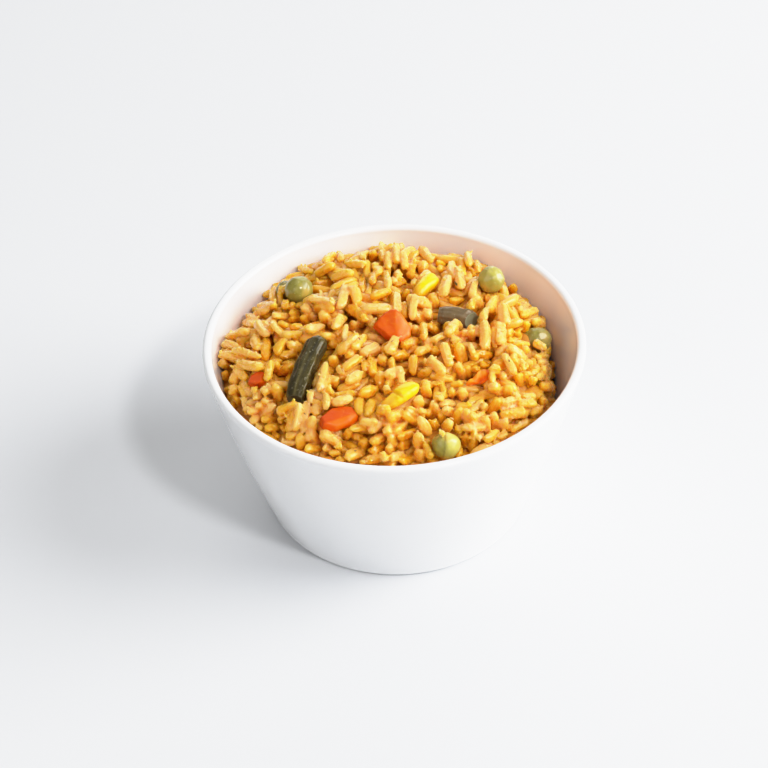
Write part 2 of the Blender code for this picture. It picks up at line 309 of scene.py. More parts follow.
# ---- the vegetables' places, as in the CAD model -----------------------------------------------
PEAS = {
    "pea_1": dict(centre=(-27.3, 22.8, 58.2), size=(8.3, 8.1, 8.4), turn=(10, 20, 30)),
    "pea_2": dict(centre=(29.5, 22.5, 59.8), size=(7.6, 7.8, 8.6), turn=(0, 10, 75)),
    "pea_3": dict(centre=(41.5, 4.7, 50.7), size=(9.0, 7.6, 7.4), turn=(0, 18, 20)),
    "pea_4": dict(centre=(13.0, -42.3, 54.7), size=(7.5, 7.4, 7.9), turn=(-15, 0, 70)),
    "pea_5": dict(centre=(-31.2, 28.0, 53.9), size=(6.4, 6.2, 6.2), turn=(0, 0, 0)),
}
CARROTS = {
    "carrot_1": dict(centre=(-0.7, -0.6, 61.2), length=12.4, width=9.6, thick=4.8, corners=7, skew=0.16, turn=(24, 22, -28)),
    "carrot_2": dict(centre=(-16.2, -33.4, 57.2), length=12.0, width=8.4, thick=2.8, corners=6, skew=0.14, turn=(6, 8, 6)),
    "carrot_3": dict(centre=(-38.8, -14.2, 55.3), length=6.4, width=5.6, thick=3.6, corners=6, skew=0.12, turn=(20, -10, 40)),
    "carrot_4": dict(centre=(24.0, -20.3, 58.7), length=12.6, width=3.6, thick=1.8, corners=8, skew=0.1, turn=(12, 2, 38)),
}
KERNELS = {
    "corn_1": dict(centre=(9.9, 19.3, 60.6), length=11.0, width=6.4, thick=4.4, turn=(15, 4, 50)),
    "corn_2": dict(centre=(0.8, -28.4, 60.4), length=12.2, width=6.4, thick=4.2, turn=(-10, -10, 32)),
}
BEANS = {
    "bean_1": dict(centre=(-25.1, -14.3, 58.9), length=23.0, width=6.3, height=5.6, bend=0.7, turn=(0, 7.2, -107.2)),
    "bean_2": dict(centre=(18.1, 6.5, 59.2), length=12.4, width=5.6, height=5.0, bend=-0.3, turn=(20, 6.0, -10.8)),
}


def turned(turn):
    rx, ry, rz = (math.radians(t) for t in turn)
    m = Matrix.Rotation(rz, 3, "Z") @ Matrix.Rotation(ry, 3, "Y") @ Matrix.Rotation(rx, 3, "X")
    return np.array(m)


def obstacles():
    """Balls that fill each vegetable, to keep the grains out of them: centre and radius."""
    balls = []
    for p in PEAS.values():
        balls.append((*p["centre"], sum(p["size"]) / 6))
    for c in CARROTS.values():
        m = turned(c["turn"])
        r = c["thick"] / 2 + 0.1
        for u in np.linspace(-1, 1, 7):
            for v in np.linspace(-1, 1, 5):
                if u * u + v * v <= 1.1:
                    at = np.array([u * (c["length"] / 2 * 0.93 - r), v * (c["width"] / 2 * 0.93 - r), 0.0])
                    balls.append((*(m @ at + np.array(c["centre"])), r))
    for k in KERNELS.values():
        m = turned(k["turn"])
        for u in np.linspace(-0.7, 0.7, 5):
            r = k["thick"] / 2 * (0.9 + 0.15 * u)
            for v in (-1, 1):
                at = np.array([u * k["length"] / 2, v * (k["width"] / 2 * 0.95 - r), 0.0])
                balls.append((*(m @ at + np.array(k["centre"])), r))
    for b in BEANS.values():
        m = turned(b["turn"])
        for u in np.linspace(-1, 1, 11):
            at = np.array([u * (b["length"] / 2 - 2.2), b["bend"] * (u * u - 0.33), 0.0])
            balls.append((*(m @ at + np.array(b["centre"])), (b["width"] + b["height"]) / 4))
    return np.array(balls)


# ---- the grains that show --------------------------------------------------------------------
# From the back to the front: both ends in the frame, width, layer, tone. The tone is partly the grain's own colour and
# partly painted shade: the lower layers mostly have the darker tones.
SEEN = (
    (302, 271, 315, 273, 9, 0, 3), (331, 266, 319, 277, 11, 1, 2), (323, 263, 338, 258, 9, 1, 3),
    (338, 253, 343, 263, 7, 1, 3), (344, 264, 370, 266, 9, 1, 3), (330, 279, 355, 273, 9, 1, 3),
    (313, 283, 336, 283, 9, -1, 1), (345, 283, 340, 307, 10, 2, 4), (352, 286, 358, 303, 11, 2, 3),
    (308, 298, 335, 303, 9, 2, 4), (314, 306, 336, 309, 8, 1, 2), (304, 306, 318, 317, 9, 1, 4),
    (323, 312, 329, 325, 12, 1, 3), (362, 308, 392, 307, 10, 2, 4), (348, 306, 368, 319, 10, 0, 2),
    (346, 306, 352, 318, 9, 0, 2), (355, 320, 350, 333, 10, 1, 4), (374, 318, 374, 326, 6, 1, 4),
    (364, 318, 361, 331, 9, -1, 1), (372, 298, 391, 291, 10, 0, 2), (374, 291, 389, 300, 9, 0, 2),
    (363, 274, 362, 298, 9, -1, 1), (374, 271, 373, 289, 9, 0, 1), (380, 266, 377, 275, 8, 1, 3),
    (374, 249, 374, 264, 9, 1, 2), (381, 243, 383, 261, 8, 1, 3), (388, 252, 388, 268, 8, 1, 4),
    (374, 262, 377, 270, 6, 1, 3), (386, 272, 388, 289, 8, 1, 4), (359, 257, 366, 259, 6, 1, 4),
    (321, 291, 320, 297, 4, 2, 4), (396, 243, 396, 262, 9, 1, 3), (403, 250, 405, 268, 8, 1, 4),
    (394, 262, 394, 271, 8, 1, 3), (398, 270, 398, 279, 7, 1, 3), (413, 260, 411, 276, 9, 0, 1),
    (405, 266, 408, 281, 9, -1, 1), (418, 249, 433, 264, 9, 0, 3), (423, 262, 425, 274, 12, 1, 4),
    (419, 277, 430, 271, 7, 1, 4), (443, 275, 441, 294, 10, 2, 4), (433, 295, 435, 308, 11, 1, 3),
    (456, 261, 462, 294, 10, 2, 4), (467, 249, 469, 266, 9, 2, 4), (474, 262, 479, 270, 7, 1, 4),
    (451, 258, 452, 284, 9, 1, 3), (434, 262, 447, 268, 9, 0, 2), (436, 268, 446, 274, 9, 0, 2),
    (450, 302, 463, 300, 9, 0, 1), (476, 280, 472, 296, 9, 1, 4), (396, 291, 397, 311, 8, 2, 4),
    (410, 290, 402, 302, 8, 1, 3), (404, 303, 404, 318, 9, 0, 2), (414, 297, 412, 317, 8, 1, 4),
    (419, 299, 429, 309, 12, 2, 4), (416, 313, 426, 322, 9, 1, 3), (438, 310, 426, 320, 10, 1, 4),
    (434, 318, 444, 324, 8, 1, 3), (457, 321, 447, 334, 11, 2, 4), (473, 300, 468, 312, 8, 1, 3),
    (393, 276, 395, 282, 5, 1, 4), (393, 284, 405, 284, 9, 0, 1), (413, 281, 417, 279, 4, 1, 4),
    (392, 258, 393, 250, 8, 0, 3), (465, 268, 473, 276, 8, -1, 1), (455, 286, 462, 290, 7, 0, 2),
    (447, 272, 450, 288, 8, 0, 2), (511, 284, 521, 284, 10, 0, 2), (495, 298, 489, 311, 10, 1, 3),
    (502, 304, 506, 325, 11, 2, 4), (507, 305, 525, 303, 8, 0, 2), (512, 314, 532, 306, 9, 1, 4),
    (514, 318, 540, 310, 9, 1, 3), (532, 326, 542, 323, 12, 1, 3), (525, 322, 521, 332, 9, 0, 2),
    (495, 306, 494, 322, 9, 0, 2), (486, 308, 482, 322, 8, 1, 4), (475, 299, 484, 306, 9, 1, 4),
    (472, 304, 479, 312, 8, 0, 3), (480, 314, 482, 330, 9, 0, 3), (541, 316, 545, 319, 6, 0, 1),
    (289, 285, 281, 290, 6, 2, 4), (276, 290, 275, 299, 8, 0, 2), (270, 293, 266, 302, 8, 0, 2),
    (258, 305, 279, 304, 10, 2, 3), (286, 300, 285, 307, 7, 0, 2), (282, 292, 282, 302, 6, -1, 1),
    (252, 307, 258, 313, 8, 0, 3), (256, 313, 269, 309, 9, 1, 4), (250, 318, 257, 323, 9, 0, 3),
    (274, 315, 286, 320, 9, 1, 4), (264, 315, 272, 311, 8, 0, 2), (246, 325, 258, 324, 9, 0, 3),
    (275, 310, 283, 309, 6, -1, 1), (289, 308, 298, 304, 7, -1, 1), (290, 315, 302, 311, 8, 0, 2),
    (289, 320, 301, 319, 8, -1, 1), (279, 323, 288, 325, 6, 0, 2), (290, 326, 303, 327, 7, 0, 1),
    (304, 316, 312, 322, 10, 0, 2), (226, 337, 253, 332, 11, 2, 4), (224, 345, 240, 347, 8, 1, 4),
    (232, 350, 262, 356, 8, 2, 4), (222, 355, 246, 355, 8, 1, 3), (236, 361, 262, 367, 10, 2, 3),
    (221, 361, 229, 365, 9, 0, 3), (225, 370, 229, 381, 8, 0, 2), (233, 365, 247, 378, 9, 1, 3),
    (235, 374, 238, 386, 12, 1, 3), (232, 387, 240, 397, 10, 1, 3), (243, 380, 252, 395, 7, 0, 3),
    (234, 394, 244, 408, 9, 0, 2), (241, 384, 248, 397, 6, 0, 2), (255, 335, 257, 351, 9, 0, 3),
    (266, 340, 266, 360, 10, -1, 1), (243, 345, 254, 346, 7, -1, 1), (256, 320, 267, 335, 8, 2, 4),
    (262, 320, 272, 332, 7, 1, 3), (271, 321, 281, 334, 7, 2, 4), (268, 330, 273, 338, 8, -1, 1),
    (303, 332, 281, 336, 7, 1, 3), (289, 343, 298, 348, 11, 1, 3), (299, 335, 300, 350, 9, 0, 2),
    (281, 355, 296, 358, 9, -1, 1), (271, 360, 267, 380, 9, 1, 3), (278, 361, 272, 376, 8, 1, 2),
    (294, 366, 277, 375, 11, 0, 1), (275, 384, 283, 400, 11, 2, 3), (268, 382, 269, 392, 5, 1, 4),
    (272, 390, 275, 400, 8, 0, 1), (306, 330, 323, 329, 9, 2, 4), (342, 314, 334, 328, 10, 2, 4),
    (333, 318, 329, 331, 8, 0, 3), (323, 334, 337, 338, 9, 1, 3), (346, 324, 344, 341, 7, 2, 4),
    (359, 333, 337, 352, 10, 2, 3), (366, 333, 352, 350, 8, 1, 3), (372, 334, 388, 342, 8, 2, 4),
    (362, 353, 378, 347, 11, 2, 4), (348, 356, 358, 346, 9, 0, 2), (380, 356, 384, 366, 10, 1, 3),
    (384, 345, 389, 355, 9, 0, 2), (335, 355, 345, 353, 8, 0, 2), (331, 356, 335, 372, 10, 1, 3),
    (338, 365, 344, 373, 6, 1, 4), (326, 361, 319, 392, 9, 2, 4), (330, 374, 324, 394, 7, 1, 3),
    (335, 377, 333, 389, 10, 1, 3), (329, 387, 332, 392, 5, 1, 4), (342, 368, 360, 360, 10, 1, 3),
    (364, 360, 365, 372, 7, 0, 2), (346, 382, 360, 373, 11, 2, 4), (371, 358, 372, 378, 9, -1, 1),
    (379, 372, 384, 392, 9, 2, 3), (338, 389, 361, 384, 9, 0, 2), (363, 390, 376, 389, 8, 0, 2),
    (366, 380, 376, 387, 8, -1, 1), (386, 386, 388, 392, 6, 1, 3), (330, 345, 342, 339, 9, 0, 1),
    (329, 349, 336, 344, 9, -1, 1), (311, 391, 310, 401, 7, 2, 4), (326, 392, 326, 408, 7, 2, 4),
    (312, 402, 325, 405, 7, 1, 2), (313, 408, 321, 413, 10, 2, 4), (397, 336, 388, 352, 10, 2, 4),
    (389, 338, 385, 351, 8, 1, 3), (401, 347, 419, 339, 9, 0, 1), (404, 352, 418, 346, 7, -1, 1),
    (394, 355, 409, 355, 9, 0, 1), (391, 357, 394, 370, 6, 1, 3), (385, 375, 399, 372, 10, 2, 4),
    (397, 367, 402, 383, 7, 1, 4), (388, 384, 393, 377, 7, 0, 3), (402, 369, 416, 377, 9, -1, 1),
    (414, 355, 413, 373, 9, 0, 2), (414, 325, 415, 340, 8, 1, 4), (415, 312, 416, 325, 9, 0, 3),
    (422, 322, 425, 338, 8, 1, 3), (432, 322, 427, 333, 9, 0, 1), (434, 328, 439, 337, 9, -1, 1),
    (431, 340, 445, 333, 6, 1, 4), (430, 338, 424, 352, 9, 1, 4), (417, 352, 430, 345, 9, 1, 3),
    (428, 357, 445, 373, 10, 2, 4), (424, 359, 434, 371, 8, 1, 4), (434, 346, 441, 360, 10, 0, 2),
    (444, 342, 450, 366, 10, 2, 4), (452, 347, 454, 358, 6, -1, 1), (458, 346, 463, 362, 11, 1, 2),
    (452, 338, 466, 345, 9, 2, 4), (456, 331, 471, 340, 9, 1, 3), (466, 328, 478, 335, 8, 2, 4),
    (470, 343, 474, 354, 7, 1, 4), (458, 364, 460, 379, 9, 1, 4), (466, 367, 469, 380, 9, 0, 2),
    (433, 376, 451, 381, 8, 1, 3), (429, 383, 445, 384, 6, 0, 2), (428, 368, 422, 382, 9, 1, 3),
    (425, 383, 427, 395, 9, 1, 3), (442, 386, 444, 397, 7, 0, 2), (450, 385, 463, 383, 6, 0, 2),
    (409, 322, 410, 328, 5, 0, 3), (484, 318, 485, 350, 10, 2, 4), (477, 326, 482, 334, 7, 1, 4),
    (471, 330, 475, 341, 8, 2, 4), (500, 324, 499, 346, 10, 2, 4), (494, 327, 495, 347, 7, 1, 2),
    (505, 328, 511, 337, 11, 1, 3), (504, 340, 513, 341, 6, 0, 2), (516, 325, 517, 336, 7, -1, 2),
    (514, 343, 529, 344, 8, 1, 3), (508, 346, 522, 362, 11, 2, 4), (527, 346, 522, 356, 8, 1, 4),
    (503, 353, 515, 373, 9, 2, 4), (512, 357, 520, 371, 8, 1, 3), (522, 359, 524, 369, 4, 1, 4),
    (529, 336, 550, 352, 8, 2, 4), (530, 356, 548, 358, 8, 1, 3), (531, 361, 549, 362, 8, 2, 4),
    (530, 368, 550, 368, 9, 1, 3), (529, 374, 547, 377, 8, 1, 3), (549, 363, 546, 380, 6, 1, 4),
    (532, 378, 530, 387, 8, 1, 3), (532, 387, 551, 388, 11, 1, 2), (517, 375, 519, 386, 8, 0, 2),
    (515, 391, 517, 401, 7, 2, 4), (504, 378, 493, 371, 9, 2, 4), (508, 386, 505, 397, 10, 1, 3),
    (492, 384, 500, 397, 11, 2, 4), (489, 368, 501, 369, 8, 1, 3), (490, 373, 492, 381, 7, 1, 3),
    (472, 367, 480, 370, 7, 0, 1), (481, 367, 491, 360, 8, -1, 1), (474, 355, 492, 354, 9, -1, 1),
    (471, 354, 478, 356, 7, 0, 3), (553, 354, 556, 367, 7, -1, 1), (549, 379, 556, 383, 7, -1, 1),
    (524, 374, 526, 388, 8, -1, 1), (246, 397, 246, 406, 7, 1, 4), (250, 409, 259, 412, 11, 2, 4),
    (274, 405, 262, 414, 9, 1, 4), (252, 421, 263, 414, 8, 1, 4), (265, 418, 277, 417, 8, 0, 2),
    (257, 423, 263, 429, 6, 0, 3), (266, 428, 283, 428, 9, 1, 2), (278, 413, 299, 402, 9, 1, 2),
    (278, 419, 290, 412, 7, 0, 1), (282, 424, 287, 431, 6, -1, 1), (293, 408, 290, 432, 8, 1, 2),
    (300, 402, 297, 430, 10, 2, 4), (307, 401, 303, 431, 8, 1, 4), (281, 440, 296, 441, 6, 1, 4),
    (301, 434, 303, 446, 10, 1, 3), (267, 432, 280, 437, 6, -1, 1), (288, 441, 294, 446, 8, 0, 3),
    (315, 418, 309, 431, 12, 2, 4), (310, 434, 318, 440, 11, 1, 4), (323, 432, 339, 442, 11, 2, 4),
    (324, 446, 333, 450, 8, 1, 4), (306, 447, 320, 450, 8, 1, 3), (330, 452, 344, 456, 8, 1, 3),
    (336, 457, 345, 459, 5, 0, 2), (335, 446, 342, 444, 5, 1, 3), (333, 404, 352, 398, 10, 1, 4),
    (336, 395, 355, 394, 6, 0, 2), (358, 396, 379, 393, 11, 0, 2), (366, 413, 374, 403, 10, 0, 2),
    (377, 409, 392, 405, 9, 0, 2), (378, 411, 381, 416, 6, 1, 3), (360, 421, 378, 421, 7, 2, 4),
    (353, 427, 369, 426, 8, 1, 2), (370, 430, 384, 417, 8, 1, 4), (350, 428, 343, 438, 8, 0, 2),
    (354, 434, 370, 437, 10, -1, 1), (362, 440, 364, 452, 11, 0, 2), (347, 456, 365, 450, 10, 1, 3),
    (373, 441, 386, 434, 10, 1, 3), (387, 427, 389, 436, 9, 2, 4), (372, 451, 385, 447, 8, 0, 1),
    (367, 459, 385, 457, 9, 1, 3), (382, 450, 386, 461, 7, 2, 4), (360, 461, 367, 461, 5, 1, 3),
    (389, 445, 390, 457, 8, 1, 4), (417, 395, 415, 411, 10, 2, 4), (424, 383, 431, 403, 11, 2, 3),
    (408, 409, 420, 417, 8, 1, 4), (419, 416, 430, 435, 10, 2, 4), (387, 419, 401, 414, 11, 1, 3),
    (386, 425, 400, 421, 9, 1, 3), (402, 412, 416, 420, 9, 0, 2), (394, 431, 406, 424, 9, 1, 3),
    (398, 437, 414, 430, 9, 0, 1), (390, 436, 396, 448, 9, 1, 3), (398, 446, 413, 445, 10, -1, 1),
    (418, 435, 421, 448, 11, 2, 4), (419, 449, 421, 463, 12, 2, 4), (425, 441, 431, 458, 7, 1, 2),
    (391, 458, 403, 454, 8, 1, 4), (400, 460, 414, 458, 8, 0, 1), (433, 403, 439, 416, 9, 1, 4),
    (421, 409, 425, 413, 5, 1, 4), (425, 410, 437, 419, 9, 0, 2), (433, 420, 437, 432, 9, 0, 2),
    (437, 391, 437, 400, 7, 1, 2), (440, 396, 444, 399, 5, 1, 4), (452, 390, 451, 399, 9, 1, 3),
    (462, 389, 463, 399, 10, 2, 4), (441, 402, 455, 406, 8, 1, 4), (445, 409, 456, 414, 9, 1, 4),
    (450, 420, 446, 430, 10, 2, 4), (441, 412, 442, 425, 8, 0, 2), (457, 406, 471, 404, 7, 0, 2),
    (459, 409, 459, 425, 9, 1, 2), (466, 411, 470, 426, 9, 1, 4), (464, 427, 483, 425, 9, 2, 4),
    (455, 427, 462, 429, 6, 0, 2), (465, 433, 466, 451, 9, -1, 1), (474, 433, 475, 449, 9, 1, 3),
    (446, 428, 442, 435, 6, 2, 4), (483, 401, 481, 416, 8, 1, 4), (497, 400, 490, 412, 10, 1, 2),
    (503, 409, 518, 404, 11, 1, 4), (517, 403, 533, 403, 9, 1, 3), (502, 402, 515, 398, 6, 2, 4),
    (520, 397, 535, 396, 7, 1, 3), (540, 397, 543, 409, 11, 0, 2), (527, 411, 539, 409, 8, 0, 2),
    (500, 413, 524, 411, 9, 1, 3), (495, 412, 489, 431, 10, 2, 4), (483, 419, 486, 430, 9, 1, 4),
    (505, 418, 499, 429, 11, 1, 4), (473, 421, 484, 417, 8, 1, 3), (485, 441, 499, 433, 9, 1, 3),
    (481, 438, 476, 434, 5, 1, 4), (497, 438, 507, 432, 6, 0, 3), (511, 430, 528, 420, 7, 1, 3),
    (508, 424, 511, 431, 7, 0, 2), (514, 420, 525, 422, 7, -1, 1), (474, 411, 472, 419, 6, 1, 3),
    (449, 322, 447, 330, 8, 2, 4), (456, 320, 461, 329, 8, 2, 4), (464, 331, 472, 334, 8, 2, 4),
    (255, 398, 262, 394, 8, 2, 4), (264, 400, 270, 406, 9, 2, 4), (258, 404, 266, 409, 9, 2, 4),
    (247, 408, 254, 413, 8, 2, 4), (262, 387, 268, 392, 7, 2, 4), (420, 409, 422, 410, 5, 2, 4),
    (439, 396, 441, 397, 5, 2, 4), (328, 387, 330, 388, 5, 2, 3), (386, 386, 387, 388, 5, 2, 4),
    (413, 281, 414, 283, 5, 2, 4), (251, 388, 257, 391, 6, 2, 3),
)


# ---- packing the grains ----------------------------------------------------------------------------
LAYER = 8.5  # mm of loose grains over the core
BALLS = 4  # balls that stand for one grain
ALONG = np.linspace(-1, 1, BALLS)
FAT = np.array([0.86, 1.0, 1.0, 0.86])
DEPTH = {2: -0.35, 1: 0.8, 0: 2.1, -1: 3.6}  # mm below the heap's outline, of each layer's middle


def sight(px, py):
    """Directions from the camera through points of the frame."""
    d = LOOK[None] * FOCAL + ACROSS[None] * (px - 384.0)[:, None] - UPWARD[None] * (py - 384.0)[:, None]
    return d / np.linalg.norm(d, axis=1)[:, None]


def cast(px, py, depth):
    """Where the camera's rays meet a surface that lies depth below the heap, or pass it closest."""
    d = sight(np.asarray(px, float), np.asarray(py, float))
    t = np.linspace(AWAY - 75, AWAY + 75, 601)
    P = EYE[None, None] + d[:, None] * t[None, :, None]
    rho = np.hypot(P[..., 0], P[..., 1])
    over = P[..., 2] - (heap_height(P[..., 0], P[..., 1]) - depth[:, None])
    inside = rho < inner_radius(np.clip(P[..., 2], 0, BOWL_HEIGHT)) - 1.0
    over = np.where(inside, over, 50.0)
    hit = over < 0
    first = np.where(hit.any(1), hit.argmax(1), np.abs(over).argmin(1))
    return P[np.arange(len(d)), first]


def seen_grains(rng):
    """The grains that show: their ends are cast on the heap, and a grain seen end-on reaches on into it."""
    table = np.array(SEEN, float)
    x0, y0, x1, y1, wide, layer, tone = table.T
    depth = np.array([DEPTH[int(k)] for k in layer])
    a, b = cast(x0, y0 + 1.2, depth), cast(x1, y1 + 1.2, depth)
    radius = np.clip(wide / 6.92 * 1.1, 0.5, 1.75)
    for k in np.where(wide >= 8)[0]:
        full = rng.uniform(6.4, 7.6)
        short = full - np.linalg.norm(b[k] - a[k])
        if short > 0:
            # keeps its place in the frame and goes deeper at the covered end
            lo, hi = 0.0, 12.0
            for _ in range(30):
                mid = (lo + hi) / 2
                if np.linalg.norm(b[k] + LOOK * mid - a[k]) < full:
                    lo = mid
                else:
                    hi = mid
            b[k] = b[k] + LOOK * lo
            if short > 2.5:
                a[k] = a[k] + LOOK * 0.3
    span = b - a
    length = np.linalg.norm(span, axis=1)
    # No grain is much longer than the longest in the bowl
    keep = np.minimum(length, 11.5)
    middle = (a + b) / 2
    return middle, span / length[:, None], np.maximum(keep, radius * 2.2), radius, layer, tone


def lay_over(C, U, L, R, balls):
    """Grains that show across a vegetable start flat against its front."""
    lid = fronts(balls[:, :3], balls[:, 3])
    px, py, far = framed(C)
    cover = lid[np.clip(px - 149.5, 0, 459).astype(int), np.clip(py - 149.5, 0, 459).astype(int)]
    over = cover > 0
    flat = U - (U @ LOOK)[:, None] * LOOK
    part = np.linalg.norm(flat, axis=1) + 1e-9
    scale = np.where(over, (cover - 0.6 * R) / far, 1.0)
    return EYE + (C - EYE) * scale[:, None], np.where(over[:, None], flat / part[:, None], U), np.where(over, np.maximum(L * part, R * 2.2), L)


def near_pairs(points, owner, reach):
    """Pairs of points of different owners within reach, found through a grid of cells."""
    cell = np.floor(points / reach).astype(np.int64)
    cell -= cell.min(0) - 1
    span = cell.max(0) + 2
    key = (cell[:, 0] * span[1] + cell[:, 1]) * span[2] + cell[:, 2]
    order = np.argsort(key, kind="stable")
    ranked = key[order]
    first, second = [], []
    for dx in (-1, 0, 1):
        for dy in (-1, 0, 1):
            for dz in (-1, 0, 1):
                wanted = ((cell[:, 0] + dx) * span[1] + cell[:, 1] + dy) * span[2] + cell[:, 2] + dz
                a, b = np.searchsorted(ranked, wanted, "left"), np.searchsorted(ranked, wanted, "right")
                for q in range(int((b - a).max())):
                    s = np.where(b - a > q)[0]
                    t = order[a[s] + q]
                    ok = (s < t) & (owner[s] != owner[t])
                    first.append(s[ok])
                    second.append(t[ok])
    i, j = np.concatenate(first), np.concatenate(second)
    near = np.linalg.norm(points[i] - points[j], axis=1) < reach
    return i[near], j[near]


def balls_of(C, U, L, R):
    return (C[:, None] + U[:, None] * (ALONG[None, :, None] * np.maximum(L / 2 - R * 0.86, 0.05)[:, None, None])).reshape(-1, 3)


def framed(points):
    """Where points fall in the frame, and how far they are from the camera."""
    v = points - EYE
    far = v @ LOOK
    return 384.0 + FOCAL * (v @ ACROSS) / far, 384.0 - FOCAL * (v @ UPWARD) / far, far


def screen(points, radius):
    """For each spot of the frame, how far away the farthest of these balls is."""
    near = np.full((460, 460), -1.0)
    px, py, far = framed(points)
    for x, y, t, r in zip(px - 150, py - 150, far, radius * FOCAL / far):
        x0, x1, y0, y1 = (int(v) for v in (x - r, x + r + 2, y - r, y + r + 2))
        gx, gy = np.meshgrid(np.arange(x0, x1), np.arange(y0, y1), indexing="ij")
        part = near[x0:x1, y0:y1]
        inside = (gx - x) ** 2 + (gy - y) ** 2 < r * r
        part[inside] = np.maximum(part, t)[inside]
    return near


def fronts(points, radius, part=0.64):
    """For each spot of the frame, where the front of the nearest ball is, over the middle part of each ball."""
    near = np.full((460, 460), -1.0)
    px, py, far = framed(points)
    for x, y, t, r, size in zip(px - 150, py - 150, far, radius * FOCAL / far, radius):
        x0, x1, y0, y1 = (int(v) for v in (x - r, x + r + 2, y - r, y + r + 2))
        gx, gy = np.meshgrid(np.arange(x0, x1), np.arange(y0, y1), indexing="ij")
        away = ((gx - x) ** 2 + (gy - y) ** 2) / (r * r)
        depth = t - size * np.sqrt(np.clip(1 - away, 0, 1))
        spot = near[x0:x1, y0:y1]
        inside = (away < part) & ((spot < 0) | (spot > depth))
        spot[inside] = depth[inside]
    return near


def settle(C, U, L, R, seen, balls, rounds=180):
    """Pushes overlapping grains apart inside the bowl. The first ones, which show, hold their place in the frame
    and give way along the line of sight; the others stay behind them and under the heap's outline."""
    n = len(C)
    owner = np.repeat(np.arange(n), BALLS)
    shown = owner < seen
    radius = (R[:, None] * FAT[None]).ravel()
    heavy = np.where(shown, 0.3, 1.0)
    lid = fronts(balls[:, :3], balls[:, 3])
    for turn in range(rounds):
        S = balls_of(C, U, L, R)
        if turn % 8 == 0:
            i, j = near_pairs(S, owner, 4.2)
        if turn % 30 == 0:
            fine = 7
            T = C[:seen, None] + U[:seen, None] * (np.linspace(-1, 1, fine)[None, :, None] * np.maximum(L[:seen] / 2 - R[:seen], 0.05)[:, None, None])
            front = screen(np.concatenate([T.reshape(-1, 3), balls[:, :3]]), np.concatenate([np.repeat(R[:seen] * 0.85 + 0.5, fine), balls[:, 3] + 0.2]))
        D = S[i] - S[j]
        dist = np.linalg.norm(D, axis=1) + 1e-9
        deep = (radius[i] + radius[j]) * np.where(shown[i] | shown[j], 0.78, 0.70) - dist
        m = deep > 0
        a, b = i[m], j[m]
        wa, wb = heavy[a], heavy[b]
        push = (deep[m] / dist[m] / (wa + wb))[:, None] * D[m]
        dS = np.zeros_like(S)
        for col in range(3):
            dS[:, col] = np.bincount(a, push[:, col] * wa, len(S)) - np.bincount(b, push[:, col] * wb, len(S))
        hits = np.bincount(a, minlength=len(S)) + np.bincount(b, minlength=len(S))
        dS /= np.maximum(hits, 1)[:, None] * 0.75
        # Grains that show across a vegetable come to lie on it
        px, py, far = framed(S)
        px, py = np.clip(px - 149.5, 0, 459).astype(int), np.clip(py - 149.5, 0, 459).astype(int)
        cover = lid[px, py]
        lift = np.where(shown & (cover > 0), np.clip(far + 0.6 * radius - cover, 0, 4.0), 0.0)
        dS -= LOOK * (lift * 0.6)[:, None]
        for x, y, z, r in balls:
            E = S - (x, y, z)
            d = np.linalg.norm(E, axis=1) + 1e-9
            into = np.where(lift > 0.4, 0.0, np.maximum(r + radius * 0.95 - d, 0.0))
            dS += E / d[:, None] * into[:, None] * 0.7
        top = heap_height(S[:, 0], S[:, 1])
        most = top + np.where(shown, np.where(cover > 0, 9.0, 2.8), 0.5)
        dS[:, 2] -= np.maximum(S[:, 2] + radius - most, 0) * 0.5
        # The others keep behind the grains and the vegetables that show
        wall = front[px, py]
        dS += LOOK * (np.clip(wall - 0.2 - far, 0, 3.0) * np.where(shown, 0.0, 0.5))[:, None]
        dS[:, 2] += np.maximum(top - LAYER - 1.5 - S[:, 2], 0) * 0.5
        # Grains that show move little across the line of sight
        sideways = dS - (dS @ LOOK)[:, None] * LOOK[None]
        dS -= np.where(shown, 0.8, 0.0)[:, None] * sideways
        rho = np.hypot(S[:, 0], S[:, 1])
        over = np.maximum(rho - (inner_radius(S[:, 2]) - 0.08 - radius), 0)
        dS[:, 0] -= S[:, 0] / np.maximum(rho, 1e-6) * over
        dS[:, 1] -= S[:, 1] / np.maximum(rho, 1e-6) * over
        dS = dS.reshape(n, BALLS, 3)
        arm = ALONG[None] * np.maximum(L / 2, 1.5)[:, None]
        lever = (arm[:, :, None] * dS).sum(1) / (arm**2).sum(1)[:, None]
        lever -= (lever * U).sum(1)[:, None] * U
        C = C + dS.mean(1)
        U = U + lever
        # Grains come to rest lying down
        U[seen:, 2] *= 0.965
        U /= np.linalg.norm(U, axis=1)[:, None]
    return C, U


